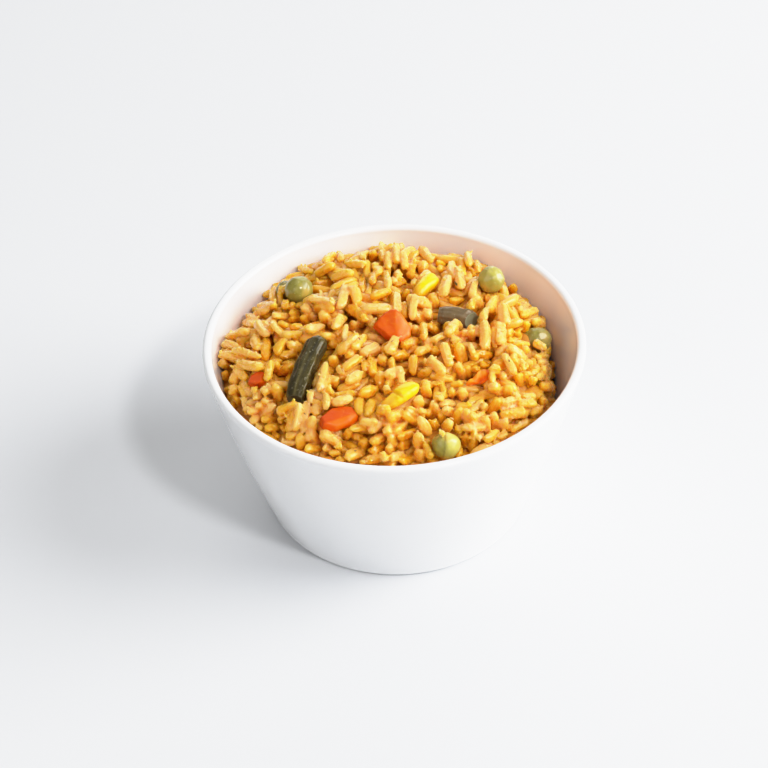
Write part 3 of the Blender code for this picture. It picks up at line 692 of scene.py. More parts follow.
def scatter_grains(count, rng, first, ways, tones):
    """Places, directions and tones of the other grains before they settle: spread through the layer, mostly lying
    down and much like the nearest of the first grains."""
    places = np.zeros((0, 3))
    while len(places) < count:
        p = rng.uniform(-50, 50, (6000, 2))
        p = p[np.hypot(p[:, 0], p[:, 1]) < 49.5]
        z = heap_height(p[:, 0], p[:, 1]) - rng.uniform(0.8, LAYER, len(p))
        places = np.concatenate([places, np.c_[p, z]])
    C = places[:count]
    L = np.clip(rng.normal(9.2, 1.0, count), 6.0, 11.2)
    R = np.clip(rng.normal(1.5, 0.12, count), 1.2, 1.8)
    turn, tilt = rng.uniform(0, 2 * np.pi, count), rng.normal(0, 0.3, count)
    U = np.c_[np.cos(turn) * np.cos(tilt), np.sin(turn) * np.cos(tilt), np.sin(tilt)]
    away = np.linalg.norm(C[:, None] - first[None], axis=2)
    like = ways[away.argmin(1)] * [1.0, 1.0, 0.5]
    alike = np.where(rng.uniform(0, 1, count) < 0.6, 1.0, 0.1)[:, None]
    U = like / np.linalg.norm(like, axis=1)[:, None] * alike + U * 0.45
    U -= 0.6 * (U @ LOOK)[:, None] * LOOK
    U /= np.linalg.norm(U, axis=1)[:, None]
    shade = tones[np.argsort(away, axis=1)[:, :4]].mean(1)
    # Toned a little darker than the grains that show near them: painted shade
    return C, U, L, R, np.clip(shade - 0.05 + rng.normal(0, 0.09, count), 0.0, 0.95)


def in_sight(C, U, L, R):
    """Which grains can be seen at all, from above and from all round."""
    n = len(C)
    S = (C[:, None] + U[:, None] * (np.linspace(-1, 1, 6)[None, :, None] * np.maximum(L / 2 - R * 0.9, 0.05)[:, None, None])).reshape(-1, 3)
    owner, radius = np.repeat(np.arange(n), 6), np.repeat(R * 0.92, 6)
    found = np.zeros(n, int)
    ways = [-LOOK, np.array([0, 0, 1.0])]
    ways += [np.array([math.cos(a) * 0.75, math.sin(a) * 0.75, 0.66]) for a in np.arange(8) * math.pi / 4]
    ways += [np.array([math.cos(a) * 0.94, math.sin(a) * 0.94, 0.34]) for a in np.arange(8) * math.pi / 4 + 0.4]
    reach = np.arange(-4, 5)
    ox, oy = (v.ravel() for v in np.meshgrid(reach, reach, indexing="ij"))
    for way in ways:
        across = np.cross(way, [0.3, 0.9, 0.1])
        across /= np.linalg.norm(across)
        up = np.cross(way, across)
        x, y, z = S @ across / 0.45 + 160, S @ up / 0.45 + 160, S @ way
        gx, gy = np.floor(x)[:, None] + ox, np.floor(y)[:, None] + oy
        away = ((gx + 0.5 - x[:, None]) ** 2 + (gy + 0.5 - y[:, None]) ** 2) * 0.45**2
        lift = radius[:, None] ** 2 - away
        ok = (lift > 0).ravel()
        key = (gx * 400 + gy).astype(int).ravel()[ok]
        height = (z[:, None] + np.sqrt(np.maximum(lift, 0))).ravel()[ok]
        who = np.broadcast_to(owner[:, None], gx.shape).ravel()[ok]
        order = np.lexsort((height, key))
        last = np.r_[key[order][1:] != key[order][:-1], True]
        found += np.bincount(who[order][last], minlength=n)
    return found


# ---- the grains' shape ---------------------------------------------------------------------------------
def grain_arrays(C, U, L, R, rng, split=0.4, bend=0.13, rings=15, around=16, swell=0.0):
    """Closed meshes of many cooked grains: blunt, a little bent and flattened, furrowed along their sides, some
    with a burst end. swell grows them all round, in mm."""
    n = len(C)
    pick = lambda lo, hi: rng.uniform(lo, hi, n)[:, None, None]
    s = -np.cos(np.pi * np.arange(rings) / (rings - 1))[None, :, None]
    th = (2 * np.pi * np.arange(around) / around)[None, None, :]
    body = (1 - np.abs(s) ** pick(2.5, 5.2)) ** 0.5 * (1 + pick(-0.17, 0.17) * s)
    burst = (rng.uniform(0, 1, n) < 0.4)[:, None, None] * np.exp(-(((s - pick(0.6, 0.9)) / 0.3) ** 2))
    body = body * (1 + 0.16 * burst)
    flat = pick(0.80, 1.0)
    furrow = np.zeros((n, rings, around))
    for k in range(5):
        at, drift = pick(0, 2 * np.pi), pick(-0.35, 0.35)
        depth = pick(0.02, 0.09)
        if k == 0:
            depth = depth + (rng.uniform(0, 1, n) < split)[:, None, None] * pick(0.12, 0.28)
        if k == 1:
            depth = depth + 0.35 * burst
        away = (th - at - drift * s + np.pi) % (2 * np.pi) - np.pi
        furrow += depth * np.exp(-((away / pick(0.20, 0.40)) ** 2)) * (0.75 + 0.25 * s**2)
    lump = 1 + 0.04 * np.sin(pick(1.5, 4.0) * s + pick(0, 6.3)) + 0.04 * np.sin(2 * th + pick(0, 6.3) + 1.0 * s)
    lump = lump + 0.06 * np.sin(3 * th + pick(-1, 1) * s + pick(0, 6.3)) + 0.055 * np.sin(4 * th + pick(-1, 1) * s + pick(0, 6.3))
    lump = lump + 0.014 * np.sin(8 * s + 2 * th + pick(0, 6.3)) + 0.012 * np.sin(13 * s - 3 * th + pick(0, 6.3))
    half = L[:, None, None] / 2
    r = R[:, None, None] * body * (1 - furrow) * lump + swell * (1 - np.abs(s) ** 8) ** 0.5
    x = (half + swell) * s * np.ones_like(th)
    curve = pick(-bend, bend)
    y = r * np.cos(th) + half * (curve * (s**2 - 0.35) + pick(-0.05, 0.05) * s**3)
    z = r * flat * np.sin(th) + half * pick(-0.06, 0.06) * (s**2 - 0.35)
    V = np.cross(U, rng.normal(0, 1, (n, 3)))
    V /= np.linalg.norm(V, axis=1)[:, None]
    W = np.cross(U, V)
    P = C[:, None, None] + x[..., None] * U[:, None, None] + y[..., None] * V[:, None, None] + z[..., None] * W[:, None, None]
    # The first and last ring have no radius: one vertex each
    per = (rings - 2) * around + 2
    verts = np.concatenate([P[:, 1:-1].reshape(n, -1, 3), P[:, [0, -1], 0]], axis=1).reshape(-1, 3)
    i, j = np.meshgrid(np.arange(rings - 3), np.arange(around), indexing="ij")
    k = (j + 1) % around
    quads = np.stack([i * around + j, i * around + k, (i + 1) * around + k, (i + 1) * around + j], -1).reshape(-1, 4)
    a, b = np.arange(around), (np.arange(around) + 1) % around
    low, high, top = (rings - 2) * around, (rings - 2) * around + 1, (rings - 3) * around
    tris = np.concatenate([np.stack([b, a, np.full(around, low)], -1), np.stack([top + a, top + b, np.full(around, high)], -1)])
    shift = (np.arange(n) * per)[:, None, None]
    quads, tris = (quads[None] + shift).reshape(-1, 4), (tris[None] + shift).reshape(-1, 3)
    along = np.broadcast_to(np.abs(s), (n, rings, around))
    pack = lambda v: np.concatenate([v[:, 1:-1].reshape(n, -1), v[:, [0, -1], 0]], axis=1).ravel()
    frames = np.stack([U, V, W], 1)
    return verts, quads, tris, pack(along), pack(np.clip(furrow * 3.2, 0, 1)), np.repeat(np.arange(n), per), C, frames


def raw_mesh(name, verts, polys):
    """A mesh straight from arrays: polys are arrays of triangles or quads."""
    mesh = bpy.data.meshes.new(name)
    mesh.vertices.add(len(verts))
    mesh.vertices.foreach_set("co", verts.astype(np.float32).ravel())
    loops = np.concatenate([p.ravel() for p in polys])
    mesh.loops.add(len(loops))
    mesh.loops.foreach_set("vertex_index", loops.astype(np.int32))
    sizes = np.concatenate([np.full(len(p), p.shape[1]) for p in polys])
    mesh.polygons.add(len(sizes))
    mesh.polygons.foreach_set("loop_start", (np.cumsum(sizes) - sizes).astype(np.int32))
    mesh.update(calc_edges=True)
    mesh.validate()
    return mesh


def worked(mesh, kind, **values):
    """The mesh after one modifier."""
    obj = bpy.data.objects.new("work", mesh)
    bpy.context.scene.collection.objects.link(obj)
    step = obj.modifiers.new("step", kind)
    for k, v in values.items():
        setattr(step, k, v)
    seen = obj.evaluated_get(bpy.context.evaluated_depsgraph_get())
    done = bpy.data.meshes.new_from_object(seen)
    bpy.data.objects.remove(obj)
    bpy.data.meshes.remove(mesh)
    return done


def read_points(mesh, what="vertices", key="co", width=3, kind=np.float32):
    out = np.empty(len(getattr(mesh, what)) * width, kind)
    getattr(mesh, what).foreach_get(key, out)
    return out.reshape(-1, width).astype(float if kind is np.float32 else kind)


def evened(values, edges, times, pull=0.5):
    """Each point's value moved towards the mean of its neighbours'."""
    a, b = edges.T
    count = np.maximum(np.bincount(a, minlength=len(values)) + np.bincount(b, minlength=len(values)), 1)
    values = values.copy()
    for _ in range(times):
        for col in range(values.shape[1]):
            v = values[:, col]
            mean = (np.bincount(a, v[b], len(v)) + np.bincount(b, v[a], len(v))) / count
            values[:, col] = v + pull * (mean - v)
    return values


def ripple(points, rng, waves, shortest, longest):
    """A smooth unevenness: waves of chance direction and length in mm."""
    out = np.zeros(len(points))
    for _ in range(waves):
        d = rng.normal(0, 1, 3)
        d /= np.linalg.norm(d)
        out += np.sin(points @ d * (2 * np.pi / rng.uniform(shortest, longest)) + rng.uniform(0, 6.3))
    return out / math.sqrt(waves / 2)


def fused(name, parts, tone, rng, mat, voxel, glue, most):
    """Many grains as one skin, with a little starch in the narrow gaps between them."""
    verts, quads, tris, along, furrow, owner, centres, frames = parts
    mesh = worked(raw_mesh(name, verts, (quads, tris)), "REMESH", mode="VOXEL", voxel_size=voxel, use_smooth_shade=True)
    edges = read_points(mesh, "edges", "vertices", 2, np.int32)
    P = evened(read_points(mesh), edges, 1, 0.4)
    mesh.vertices.foreach_set("co", P.astype(np.float32).ravel())
    mesh.update()
    P -= read_points(mesh, "vertex_normals", "vector") * glue
    P += read_points(mesh, "vertex_normals", "vector") * (0.018 * ripple(P, rng, 18, 1.2, 2.6) + 0.022 * ripple(P, rng, 30, 0.6, 1.1))[:, None]
    mesh.vertices.foreach_set("co", P.astype(np.float32).ravel())
    mesh.update()
    mesh.calc_loop_triangles()
    count = len(mesh.loop_triangles)
    print(name, "triangles before thinning", count)
    if count > most:
        mesh = worked(mesh, "DECIMATE", ratio=most / count)
    P = read_points(mesh)
    edges = read_points(mesh, "edges", "vertices", 2, np.int32)
    # Numbers for the material, from the nearest point of the nearest grain
    tree = kdtree.KDTree(len(verts))
    for k, v in enumerate(verts.tolist()):
        tree.insert(v, k)
    tree.balance()
    near = np.array([tree.find(p)[1] for p in P.tolist()])
    chance = rng.uniform(0, 1, len(tone))
    # Each point in its own grain's frame, for the streaks along it
    who = owner[near]
    local = np.einsum("nij,nj->ni", frames[who], P - centres[who]) * [0.2, 1.0, 1.0] + rng.uniform(0, 60, (len(tone), 3))[who]
    ridges = 0.055 * ripple(local, rng, 24, 0.8, 1.7) + 0.022 * ripple(local, rng, 24, 0.45, 0.8)
    P += read_points(mesh, "vertex_normals", "vector") * np.clip(ridges, -0.16, 0.12)[:, None]
    mesh.vertices.foreach_set("co", P.astype(np.float32).ravel())
    mesh.update()
    values = np.c_[tone[owner[near]], chance[owner[near]], along[near], furrow[near]]
    values = evened(values, edges, 1)
    # How sunken it lies between its neighbours, and how far under the heap's outline: the masks for the painted shade
    hollow_shade = ((evened(P, edges, 8) - P) * read_points(mesh, "vertex_normals", "vector")).sum(1)
    hollow_shade = evened(hollow_shade[:, None], edges, 2)[:, 0]
    deep = heap_height(P[:, 0], P[:, 1]) - P[:, 2]
    # How far each point faces up: the mask for the painted top light
    up = evened(read_points(mesh, "vertex_normals", "vector"), edges, 1)[:, 2]
    values = np.c_[values, np.clip(0.5 + hollow_shade / 0.5, 0, 1), np.clip((deep + 1.0) / 8.0, 0, 1), up]
    for key, v in zip(("tone", "chance", "along", "furrow", "hollow_shade", "deep", "up"), values.T):
        mesh.attributes.new(key, "FLOAT", "POINT").data.foreach_set("value", v.astype(np.float32))
    mesh.attributes.new("local", "FLOAT_VECTOR", "POINT").data.foreach_set("vector", local.astype(np.float32).ravel())
    mesh.vertices.foreach_set("co", (P * MM).astype(np.float32).ravel())
    mesh.update()
    mesh.shade_smooth()
    mesh.name = name
    mesh.materials.clear()
    mesh.materials.append(mat)
    obj = bpy.data.objects.new(name, mesh)
    bpy.context.scene.collection.objects.link(obj)
    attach(obj, "root")
    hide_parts("rice")
    mesh.calc_loop_triangles()
    print(name, "triangles", len(mesh.loop_triangles))
    return obj


def rice_material():
    n = Nodes("cooked_rice")
    tone, chance = n.attribute("tone"), n.attribute("chance")
    furrow, hollow_shade, deep = n.attribute("furrow"), n.attribute("hollow_shade"), n.attribute("deep")
    streaks = n.noise(2.3, 3.0, 0.6, coords=n.attribute("local", "Vector"))
    drift = n.range(n.noise(260.0, 2.0, 0.5), 0.25, 0.75, -0.11, 0.11)
    tone = n.math("ADD", n.math("ADD", tone, drift), n.range(chance, 0.0, 1.0, -0.07, 0.07))
    tone = n.math("ADD", tone, n.range(streaks, 0.3, 0.7, -0.17, 0.17))
    # Paler on top and darker on the sides and undersides: painted light from above
    tone = n.math("ADD", tone, n.range(n.attribute("up"), 0.0, 1.0, -0.16, 0.12))
    base = n.ramp(tone, [(0.0, (0.62, 0.225, 0.007)), (0.25, (0.81, 0.318, 0.012)), (0.5, (0.94, 0.402, 0.024)), (0.75, (0.985, 0.412, 0.045)), (1.0, (0.99, 0.445, 0.11))], "LINEAR")
    stain = n.range(n.noise(420.0, 3.0, 0.6), 0.50, 0.68, 0.0, 0.5)
    base = n.mix(stain, base, (0.97, 0.94, 0.60), "MULTIPLY")
    # Painted shade: darker and more orange along the furrows, where the surface is sunken between grains, and deeper
    # under the heap's outline
    base = n.mix(n.math("MULTIPLY", furrow, 0.4), base, (0.95, 0.92, 0.60), "MULTIPLY")
    base = n.mix(n.range(hollow_shade, 0.5, 0.85, 0.0, 0.75), base, (0.88, 0.86, 0.50), "MULTIPLY")
    base = n.mix(n.range(deep, 0.20, 0.75, 0.0, 1.0), base, (0.80, 0.82, 0.60), "MULTIPLY")
    rough = n.range(n.noise(700.0, 2.0), 0.3, 0.7, 0.18, 0.34)
    # Less coat where it is sunken and deep down: painted shade on the sheen
    open_to_light = n.math("MULTIPLY", n.range(hollow_shade, 0.45, 0.85, 1.0, 0.1), n.range(deep, 0.15, 0.7, 1.0, 0.1))
    normal = n.bump(streaks, 0.12, 0.5, n.bump(n.noise(1500.0, 3.0, 0.6), 0.05, 0.4))
    return n.set(color=base, rough=rough, normal=normal, sss=1.0, radius=(0.6, 0.8, 0.3), sss_scale=0.0070, ior=1.42, coat=n.math("MULTIPLY", open_to_light, 0.55), coat_rough=0.12, tint=(1.0, 0.9, 0.72))


def joints_of(C, U, L, R, rng):
    """Blobs of starch and broken bits where grains touch: middle, direction, length, radius."""
    S = balls_of(C, U, L, R)
    i, j = near_pairs(S, np.repeat(np.arange(len(C)), BALLS), 2.9)
    keep = rng.uniform(0, 1, len(i)) < 0.03
    i, j = i[keep], j[keep]
    mid = (S[i] + S[j]) / 2 + rng.normal(0, 0.32, (len(i), 3)) - LOOK * rng.uniform(-0.2, 0.7, len(i))[:, None]
    way = rng.normal(0, 1, (len(i), 3))
    way /= np.linalg.norm(way, axis=1)[:, None]
    return mid, way, rng.uniform(1.1, 2.4, len(i)), rng.uniform(0.38, 0.62, len(i))


def crumbs_of(C, U, L, R, rng, count):
    """Small bits that stick to grains, more of them on the upper side: middle, direction, length, radius, grain."""
    k = rng.integers(0, len(C), count)
    way = rng.normal(0, 1, (count, 3)) + [0.0, -0.3, 0.7]
    way -= (way * U[k]).sum(1)[:, None] * U[k]
    way /= np.linalg.norm(way, axis=1)[:, None]
    s = rng.uniform(-0.85, 0.85, count) * L[k] / 2
    spin = rng.normal(0, 1, (count, 3))
    spin /= np.linalg.norm(spin, axis=1)[:, None]
    mid = C[k] + U[k] * s[:, None] + way * (R[k] * 0.88)[:, None]
    return mid, spin, rng.uniform(0.6, 1.5, count), rng.uniform(0.22, 0.40, count), k


def make_grains():
    rng = np.random.default_rng(7)
    C, U, L, R, layer, tone = seen_grains(rng)
    seen = len(C)
    C, U, L = lay_over(C, U, L, R, obstacles())
    *more, others = scatter_grains(1600, rng, C, U, tone / 4)
    C, U, L, R = (np.concatenate([p, q]) for p, q in zip((C, U, L, R), more))
    tone = np.concatenate([tone / 4, others])
    C, U = settle(C, U, L, R, seen, obstacles())
    mat = rice_material()
    index = np.arange(len(C))
    top = index < seen
    bits = joints_of(C[top], U[top], L[top], R[top], rng)
    *crumbs, host = crumbs_of(C[top], U[top], L[top], R[top], rng, 1300)
    C2, U2, L2, R2 = (np.concatenate([p[top], q, r]) for p, q, r in zip((C, U, L, R), bits, crumbs))
    tone2 = np.concatenate([tone[top], rng.uniform(0.2, 0.9, len(bits[0])), tone[top][host] + rng.uniform(-0.1, 0.3, len(host))])
    side = np.where(C2[:, 0] < -15, 0, np.where(C2[:, 0] < 14, 1, 2))
    lots = [("rice_top_%d" % (k + 1), [v[side == k] for v in (C2, U2, L2, R2, tone2)], 0.21, 0.075, 156000, 19, 20) for k in range(3)]
    # Of the others, those that something of shows
    near = ~top & (in_sight(C, U, L, R) > 12)
    print("grains below", near.sum(), "of", len(C) - seen)
    for k, name in enumerate(("rice_under_1", "rice_under_2")):
        half = near & (index % 2 == k)
        lots.append((name, [v[half] for v in (C, U, L, R, tone)], 0.28, 0.11, 165000, 11, 12))
    made = []
    for name, (c, u, l, r, t), voxel, glue, most, rings, around in lots:
        parts = grain_arrays(c, u, l, r, rng, 0.45, 0.13, rings, around, glue)
        made.append(fused(name, parts, t, rng, mat, voxel, glue, most))
    make_specks(C[top], made[:3])


def herb_material():
    n = Nodes("herb")
    base = n.ramp(n.noise(1600.0, 3.0, 0.6), [(0.3, (0.030, 0.026, 0.008)), (0.7, (0.105, 0.085, 0.022))])
    rough = n.range(n.noise(900.0, 2.0), 0.3, 0.7, 0.35, 0.6)
    return n.set(color=base, rough=rough, normal=n.bump(n.noise(2600.0, 3.0, 0.6), 0.04, 0.6))


def landing(origin, way, pieces):
    """Where a ray first meets the grains, and the outward direction there."""
    found = [p.ray_cast(Vector(origin * MM), Vector(way)) for p in pieces]
    found = [(np.array(f[1]) / MM, np.array(f[2])) for f in found if f[0]]
    return min(found, key=lambda f: float(np.linalg.norm(f[0] - origin))) if found else None


def make_specks(C, pieces):
    """Specks of dried leaf lying on the grains: small curled blades. One shows plainly, the others are smaller."""
    rng = np.random.default_rng(21)
    bpy.context.view_layer.update()
    sight = cast(np.array([456.0]), np.array([283.5]), np.array([0.0]))[0] - EYE
    rays = [(EYE, sight / np.linalg.norm(sight))]
    rays += [(C[k] + np.array([0.0, 0.0, 12.0]), np.array([0.0, 0.0, -1.0])) for k in rng.integers(0, len(C), 7)]
    verts, faces = [], []
    rows, cols = 9, 8
    s = np.linspace(-0.97, 0.97, rows)[:, None]
    th = (2 * np.pi * np.arange(cols) / cols)[None]
    for k, (origin, down) in enumerate(rays):
        met = landing(origin, down, pieces)
        if met is None:
            continue
        spot, way = met
        lie = ACROSS * 4.0 - UPWARD * 5.0 if k == 0 else rng.normal(0, 1, 3)
        lie = lie - (lie @ way) * way
        lie /= np.linalg.norm(lie)
        side = np.cross(way, lie)
        length = 1.9 if k == 0 else rng.uniform(0.8, 1.4)
        width = length * rng.uniform(0.22, 0.34)
        half = width * np.sqrt(1 - s**2) * (1 + 0.25 * np.sin(3.1 * s + k)) / 2 + 0.02
        x = length / 2 * s + 0 * th
        y = half * np.cos(th) + 0.06 * np.sin(4.0 * s + k)
        z = 0.07 * np.sin(th) + 0.10 * s**2 * rng.uniform(-0.4, 1.0) + 0.35 * y**2
        middle = spot + way * 0.04
        faces += grid_faces(rows, cols, len(verts))
        faces += [tuple(len(verts) + np.arange(cols)[::-1]), tuple(len(verts) + (rows - 1) * cols + np.arange(cols))]
        faces[-2], faces[-1] = (tuple(int(v) for v in f) for f in faces[-2:])
        verts += (middle + x[..., None] * lie + y[..., None] * side + z[..., None] * way).reshape(-1, 3).tolist()
    obj = mesh_object("herb_specks", verts, faces, herb_material())
    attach(obj, "root")


# ---- the vegetables ------------------------------------------------------------------------------
def lofted(name, rings, first, last, mat, marks):
    """A closed piece from rings of points in mm, with one point to close each end. It takes its CAD solid's place."""
    count, around = rings.shape[:2]
    verts = np.concatenate([rings.reshape(-1, 3), [first], [last]])
    i, j = np.meshgrid(np.arange(count - 1), np.arange(around), indexing="ij")
    k = (j + 1) % around
    quads = np.stack([i * around + j, i * around + k, (i + 1) * around + k, (i + 1) * around + j], -1).reshape(-1, 4)
    a, b = np.arange(around), (np.arange(around) + 1) % around
    start, end, top = count * around, count * around + 1, (count - 1) * around
    tris = np.concatenate([np.stack([b, a, np.full(around, start)], -1), np.stack([top + a, top + b, np.full(around, end)], -1)])
    mesh = raw_mesh(name, verts * MM, (quads, tris))
    # Turned outwards, whichever way the rings run
    total = 0.0
    for p in (quads[:, [0, 1, 2]], quads[:, [0, 2, 3]], tris):
        total += np.einsum("ij,ij->", verts[p[:, 0]], np.cross(verts[p[:, 1]], verts[p[:, 2]]))
    if total < 0:
        mesh.flip_normals()
    mesh.shade_smooth()
    for key, value in marks.items():
        value = np.broadcast_to(value, (count, around))
        flat = np.concatenate([value.ravel(), [value[0].mean()], [value[-1].mean()]])
        mesh.attributes.new(key, "FLOAT", "POINT").data.foreach_set("value", flat.astype(np.float32))
    mesh.materials.append(mat)
    obj = bpy.data.objects.new(name, mesh)
    bpy.context.scene.collection.objects.link(obj)
    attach(obj, "root")
    return obj


def uneven(points, seed, waves, shortest, longest):
    shape = points.shape[:-1]
    return ripple(points.reshape(-1, 3), np.random.default_rng(seed), waves, shortest, longest).reshape(shape)


def step(value, lo, hi):
    t = np.clip((value - lo) / (hi - lo), 0.0, 1.0)
    return t * t * (3 - 2 * t)


def make_pea(name, spec, mat, tint, wrinkle, split=False, narrow=0.0):
    lat = np.pi * (np.arange(1, 40)) / 40
    lon = 2 * np.pi * np.arange(60) / 60
    d = np.stack([np.sin(lat)[:, None] * np.cos(lon), np.sin(lat)[:, None] * np.sin(lon), -np.cos(lat)[:, None] * np.ones_like(lon)], -1)
    poles = np.array([[0, 0, -1.0], [0, 0, 1.0]])
    m = turned(spec["turn"])
    seed = sum(ord(c) for c in name)

    def place(d):
        world = d @ m.T
        scale = 1 + 0.022 * uneven(d * 2.2 + seed, seed, 6, 4.0, 9.0) + wrinkle * 0.016 * uneven(d * 4, seed + 1, 14, 1.5, 4.0)
        folds = np.abs(uneven(d * 4, seed + 2, 10, 2.2, 5.0))
        scale = scale - wrinkle * 0.035 * np.exp(-((folds / 0.16) ** 2))
        if narrow:
            scale = scale * (1 - narrow * step(world @ UPWARD, -0.2, 1.0))
        mark = np.zeros(d.shape[:-1])
        if split:
            # The skin has slipped and the two halves stand apart
            t = world @ ACROSS + 0.10 + 0.10 * (world @ UPWARD) ** 2
            facing = step(-(world @ LOOK), -0.1, 0.5)
            scale = scale - facing * (0.10 * np.exp(-((t / 0.10) ** 2)) + 0.05 * step(-t, 0.0, 0.16))
            # and it narrows towards the top
            scale = scale * (1.07 - 0.24 * step(world @ UPWARD, 0.15, 1.0) + 0.04 * step(-(world @ UPWARD), 0.0, 0.8))
            # The mark: the right-hand half paler, partly the split skin's own colour and partly painted light from the
            # lamps' side, and painted shade in the crease facing the camera
            mark = step(t, -0.07, 0.09) - 0.45 * facing * np.exp(-((t / 0.06) ** 2))
        return d * (np.array(spec["size"]) / 2) * scale[..., None] @ m.T + spec["centre"], mark

    rings, mark = place(d)
    ends, _ = place(poles)
    obj = lofted(name + "_pea", rings, ends[0], ends[1], mat, {"mark": mark, "tint": np.full(mark.shape, tint)})
    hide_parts(name)


def pea_material():
    n = Nodes("pea")
    tint, mark = n.attribute("tint"), n.attribute("mark")
    level = n.math("ADD", tint, n.range(n.noise(170.0, 3.0, 0.6), 0.3, 0.7, -0.16, 0.16))
    # mark adds the split pea's painted light and shade
    level = n.math("ADD", level, n.math("MULTIPLY", mark, 0.5))
    base = n.ramp(level, [(0.0, (0.155, 0.125, 0.020)), (0.35, (0.28, 0.25, 0.042)), (0.7, (0.46, 0.41, 0.075)), (1.0, (0.63, 0.57, 0.11))], "LINEAR")
    warm = n.range(n.noise(240.0, 2.0, 0.5), 0.52, 0.72, 0.0, 0.45)
    base = n.mix(warm, base, (0.66, 0.44, 0.09))
    dots = n.range(n.voronoi(900.0), 0.10, 0.22, 0.35, 0.0)
    base = n.mix(dots, base, (0.62, 0.58, 0.26))
    rough = n.range(n.noise(330.0, 2.0), 0.3, 0.7, 0.26, 0.46)
    normal = n.bump(n.noise(620.0, 3.0, 0.6), 0.10, 0.5)
    return n.set(color=base, rough=rough, normal=normal, sss=0.4, radius=(0.9, 1.0, 0.3), sss_scale=0.0010, ior=1.45, coat=0.5, coat_rough=0.10)


def outline(p, angles):
    """How far a polygon reaches at each angle, its corners softened."""
    p = np.array(p)
    q = np.roll(p, -1, axis=0)
    fine = 2 * np.pi * np.arange(360) / 360
    best = np.full(360, np.inf)
    for s, e in zip(p, q):
        normal = np.array([e[1] - s[1], s[0] - e[0]])
        facing = np.cos(fine) * normal[0] + np.sin(fine) * normal[1]
        dist = np.where(facing > 1e-6, (s @ normal) / np.where(facing > 1e-6, facing, 1), np.inf)
        best = np.minimum(best, dist)
    soft = sum(np.roll(best, k) * w for k, w in zip(range(-6, 7), np.hanning(15)[1:-1])) / np.hanning(15)[1:-1].sum()
    return np.interp(angles % (2 * np.pi), np.r_[fine, 2 * np.pi], np.r_[soft, soft[0]])


# The carrot pieces' outlines, as parts of their half length and width, anticlockwise
CUTS = {
    "carrot_1": [(0.75, 0.70), (-0.17, 1.02), (-0.56, 0.90), (-0.80, -0.52), (-0.18, -0.74), (0.40, -0.66), (0.80, -0.74), (0.87, 0.25)],
    "carrot_2": [(0.94, 0.02), (0.66, 0.80), (0.24, 0.95), (-0.24, 0.82), (-0.88, -0.16), (-0.78, -0.80), (-0.17, -0.98), (0.52, -0.50)],
    "carrot_3": [(0.80, 0.30), (0.30, 0.72), (-0.30, 0.80), (-0.84, 0.36), (-0.52, -0.34), (0.10, -0.72), (0.66, -0.40)],
    "carrot_4": [(1.0, 0.1), (0.7, 1.3), (0.2, 1.0), (-0.3, 1.45), (-0.8, 0.9), (-1.0, 0.0), (-0.6, -1.1), (-0.1, -0.8), (0.3, -1.35), (0.8, -0.8)],
}


def make_carrot(name, spec, mat, tint, shape):
    """A diced piece: cut faces that are nearly flat, worn edges, and shape(x, y, side) for what the knife left."""
    long, wide, thick = spec["length"] / 2, spec["width"] / 2, spec["thick"] / 2
    th = 2 * np.pi * np.arange(84) / 84
    reach = outline(CUTS[name], th)
    edge = min(0.8, thick * 0.55)
    fractions = [(f, 1.0) for f in np.linspace(0.06, 0.80, 10)]
    turn = np.linspace(0.12, 1.0, 6) * np.pi / 2
    fractions += [(0.80 + 0.20 * math.sin(a), math.cos(a)) for a in turn]
    upper = [(f, 1.0, c) for f, c in fractions]
    lower = [(f, -1.0, c) for f, c in fractions][::-1]
    rings = []
    for f, side, c in upper + lower:
        x, y = long * reach * f * np.cos(th), wide * reach * f * np.sin(th)
        z = side * (thick - edge * (1 - c)) * (1 - 0.05 * f * f)
        rings.append(np.stack([x, y, z + np.zeros(84)], -1))
    rings = np.array(rings)
    sides = np.array([s for _, s, _ in upper + lower])[:, None]
    seed = sum(ord(c) for c in name)
    # shape gives the facets' drop and a mark of painted light and shade on them
    drop, mark = shape(rings[..., 0] / long, rings[..., 1] / wide, sides)
    rings[..., 2] += drop
    spot = rings * [1.0, 1.0, 1.5]
    rings *= (1 + 0.030 * uneven(spot, seed, 8, 4.0, 9.0) + 0.010 * uneven(spot, seed + 3, 12, 1.2, 3.0))[..., None]
    m = turned(spec["turn"])
    first, last = np.array([0, 0, rings[0, :, 2].mean()]), np.array([0, 0, rings[-1, :, 2].mean()])
    world = lambda p: p @ m.T + spec["centre"]
    obj = lofted(name + "_piece", world(rings), world(first), world(last), mat, {"mark": mark, "tint": np.full(mark.shape, tint)})
    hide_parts(name)


def chunk(x, y, side):
    """Two facets fall away from a ridge, one to the left and a steeper one to the right."""
    q = 0.85 * (x + 0.35) + 0.53 * (y - 0.94)
    ridge = np.sqrt(q * q + 0.004)
    drop = np.where(side > 0, 0.9 - np.where(q > 0, 1.7, 1.15) * ridge - 0.25 * np.exp(-(((x + 0.3) / 0.3) ** 2 + ((y + 0.1) / 0.4) ** 2)), 0.1)
    # The mark is painted light and shade: the right facet, towards the lamps, lighter and the lower tip darker
    low = step(x - 1.1 * y, 1.0, 1.5)
    return drop, np.clip(0.30 + 0.55 * step(q, -0.12, 0.5) - 0.55 * low, 0, 1)


def slice_of(x, y, side):
    """Two facets meet in a low ridge along it."""
    q = 0.515 * (x - 0.87) - 0.857 * (y - 0.18)
    ridge = np.sqrt(q * q + 0.003)
    drop = np.where(side > 0, 0.55 - np.where(q > 0, 1.5, 0.75) * ridge, 0.1)
    # The mark is painted light: the steeper facet lighter than the other, and lighter towards +x
    return drop, np.clip(0.12 + 0.75 * step(q, -0.10, 0.14) + 0.12 * x, 0, 1)


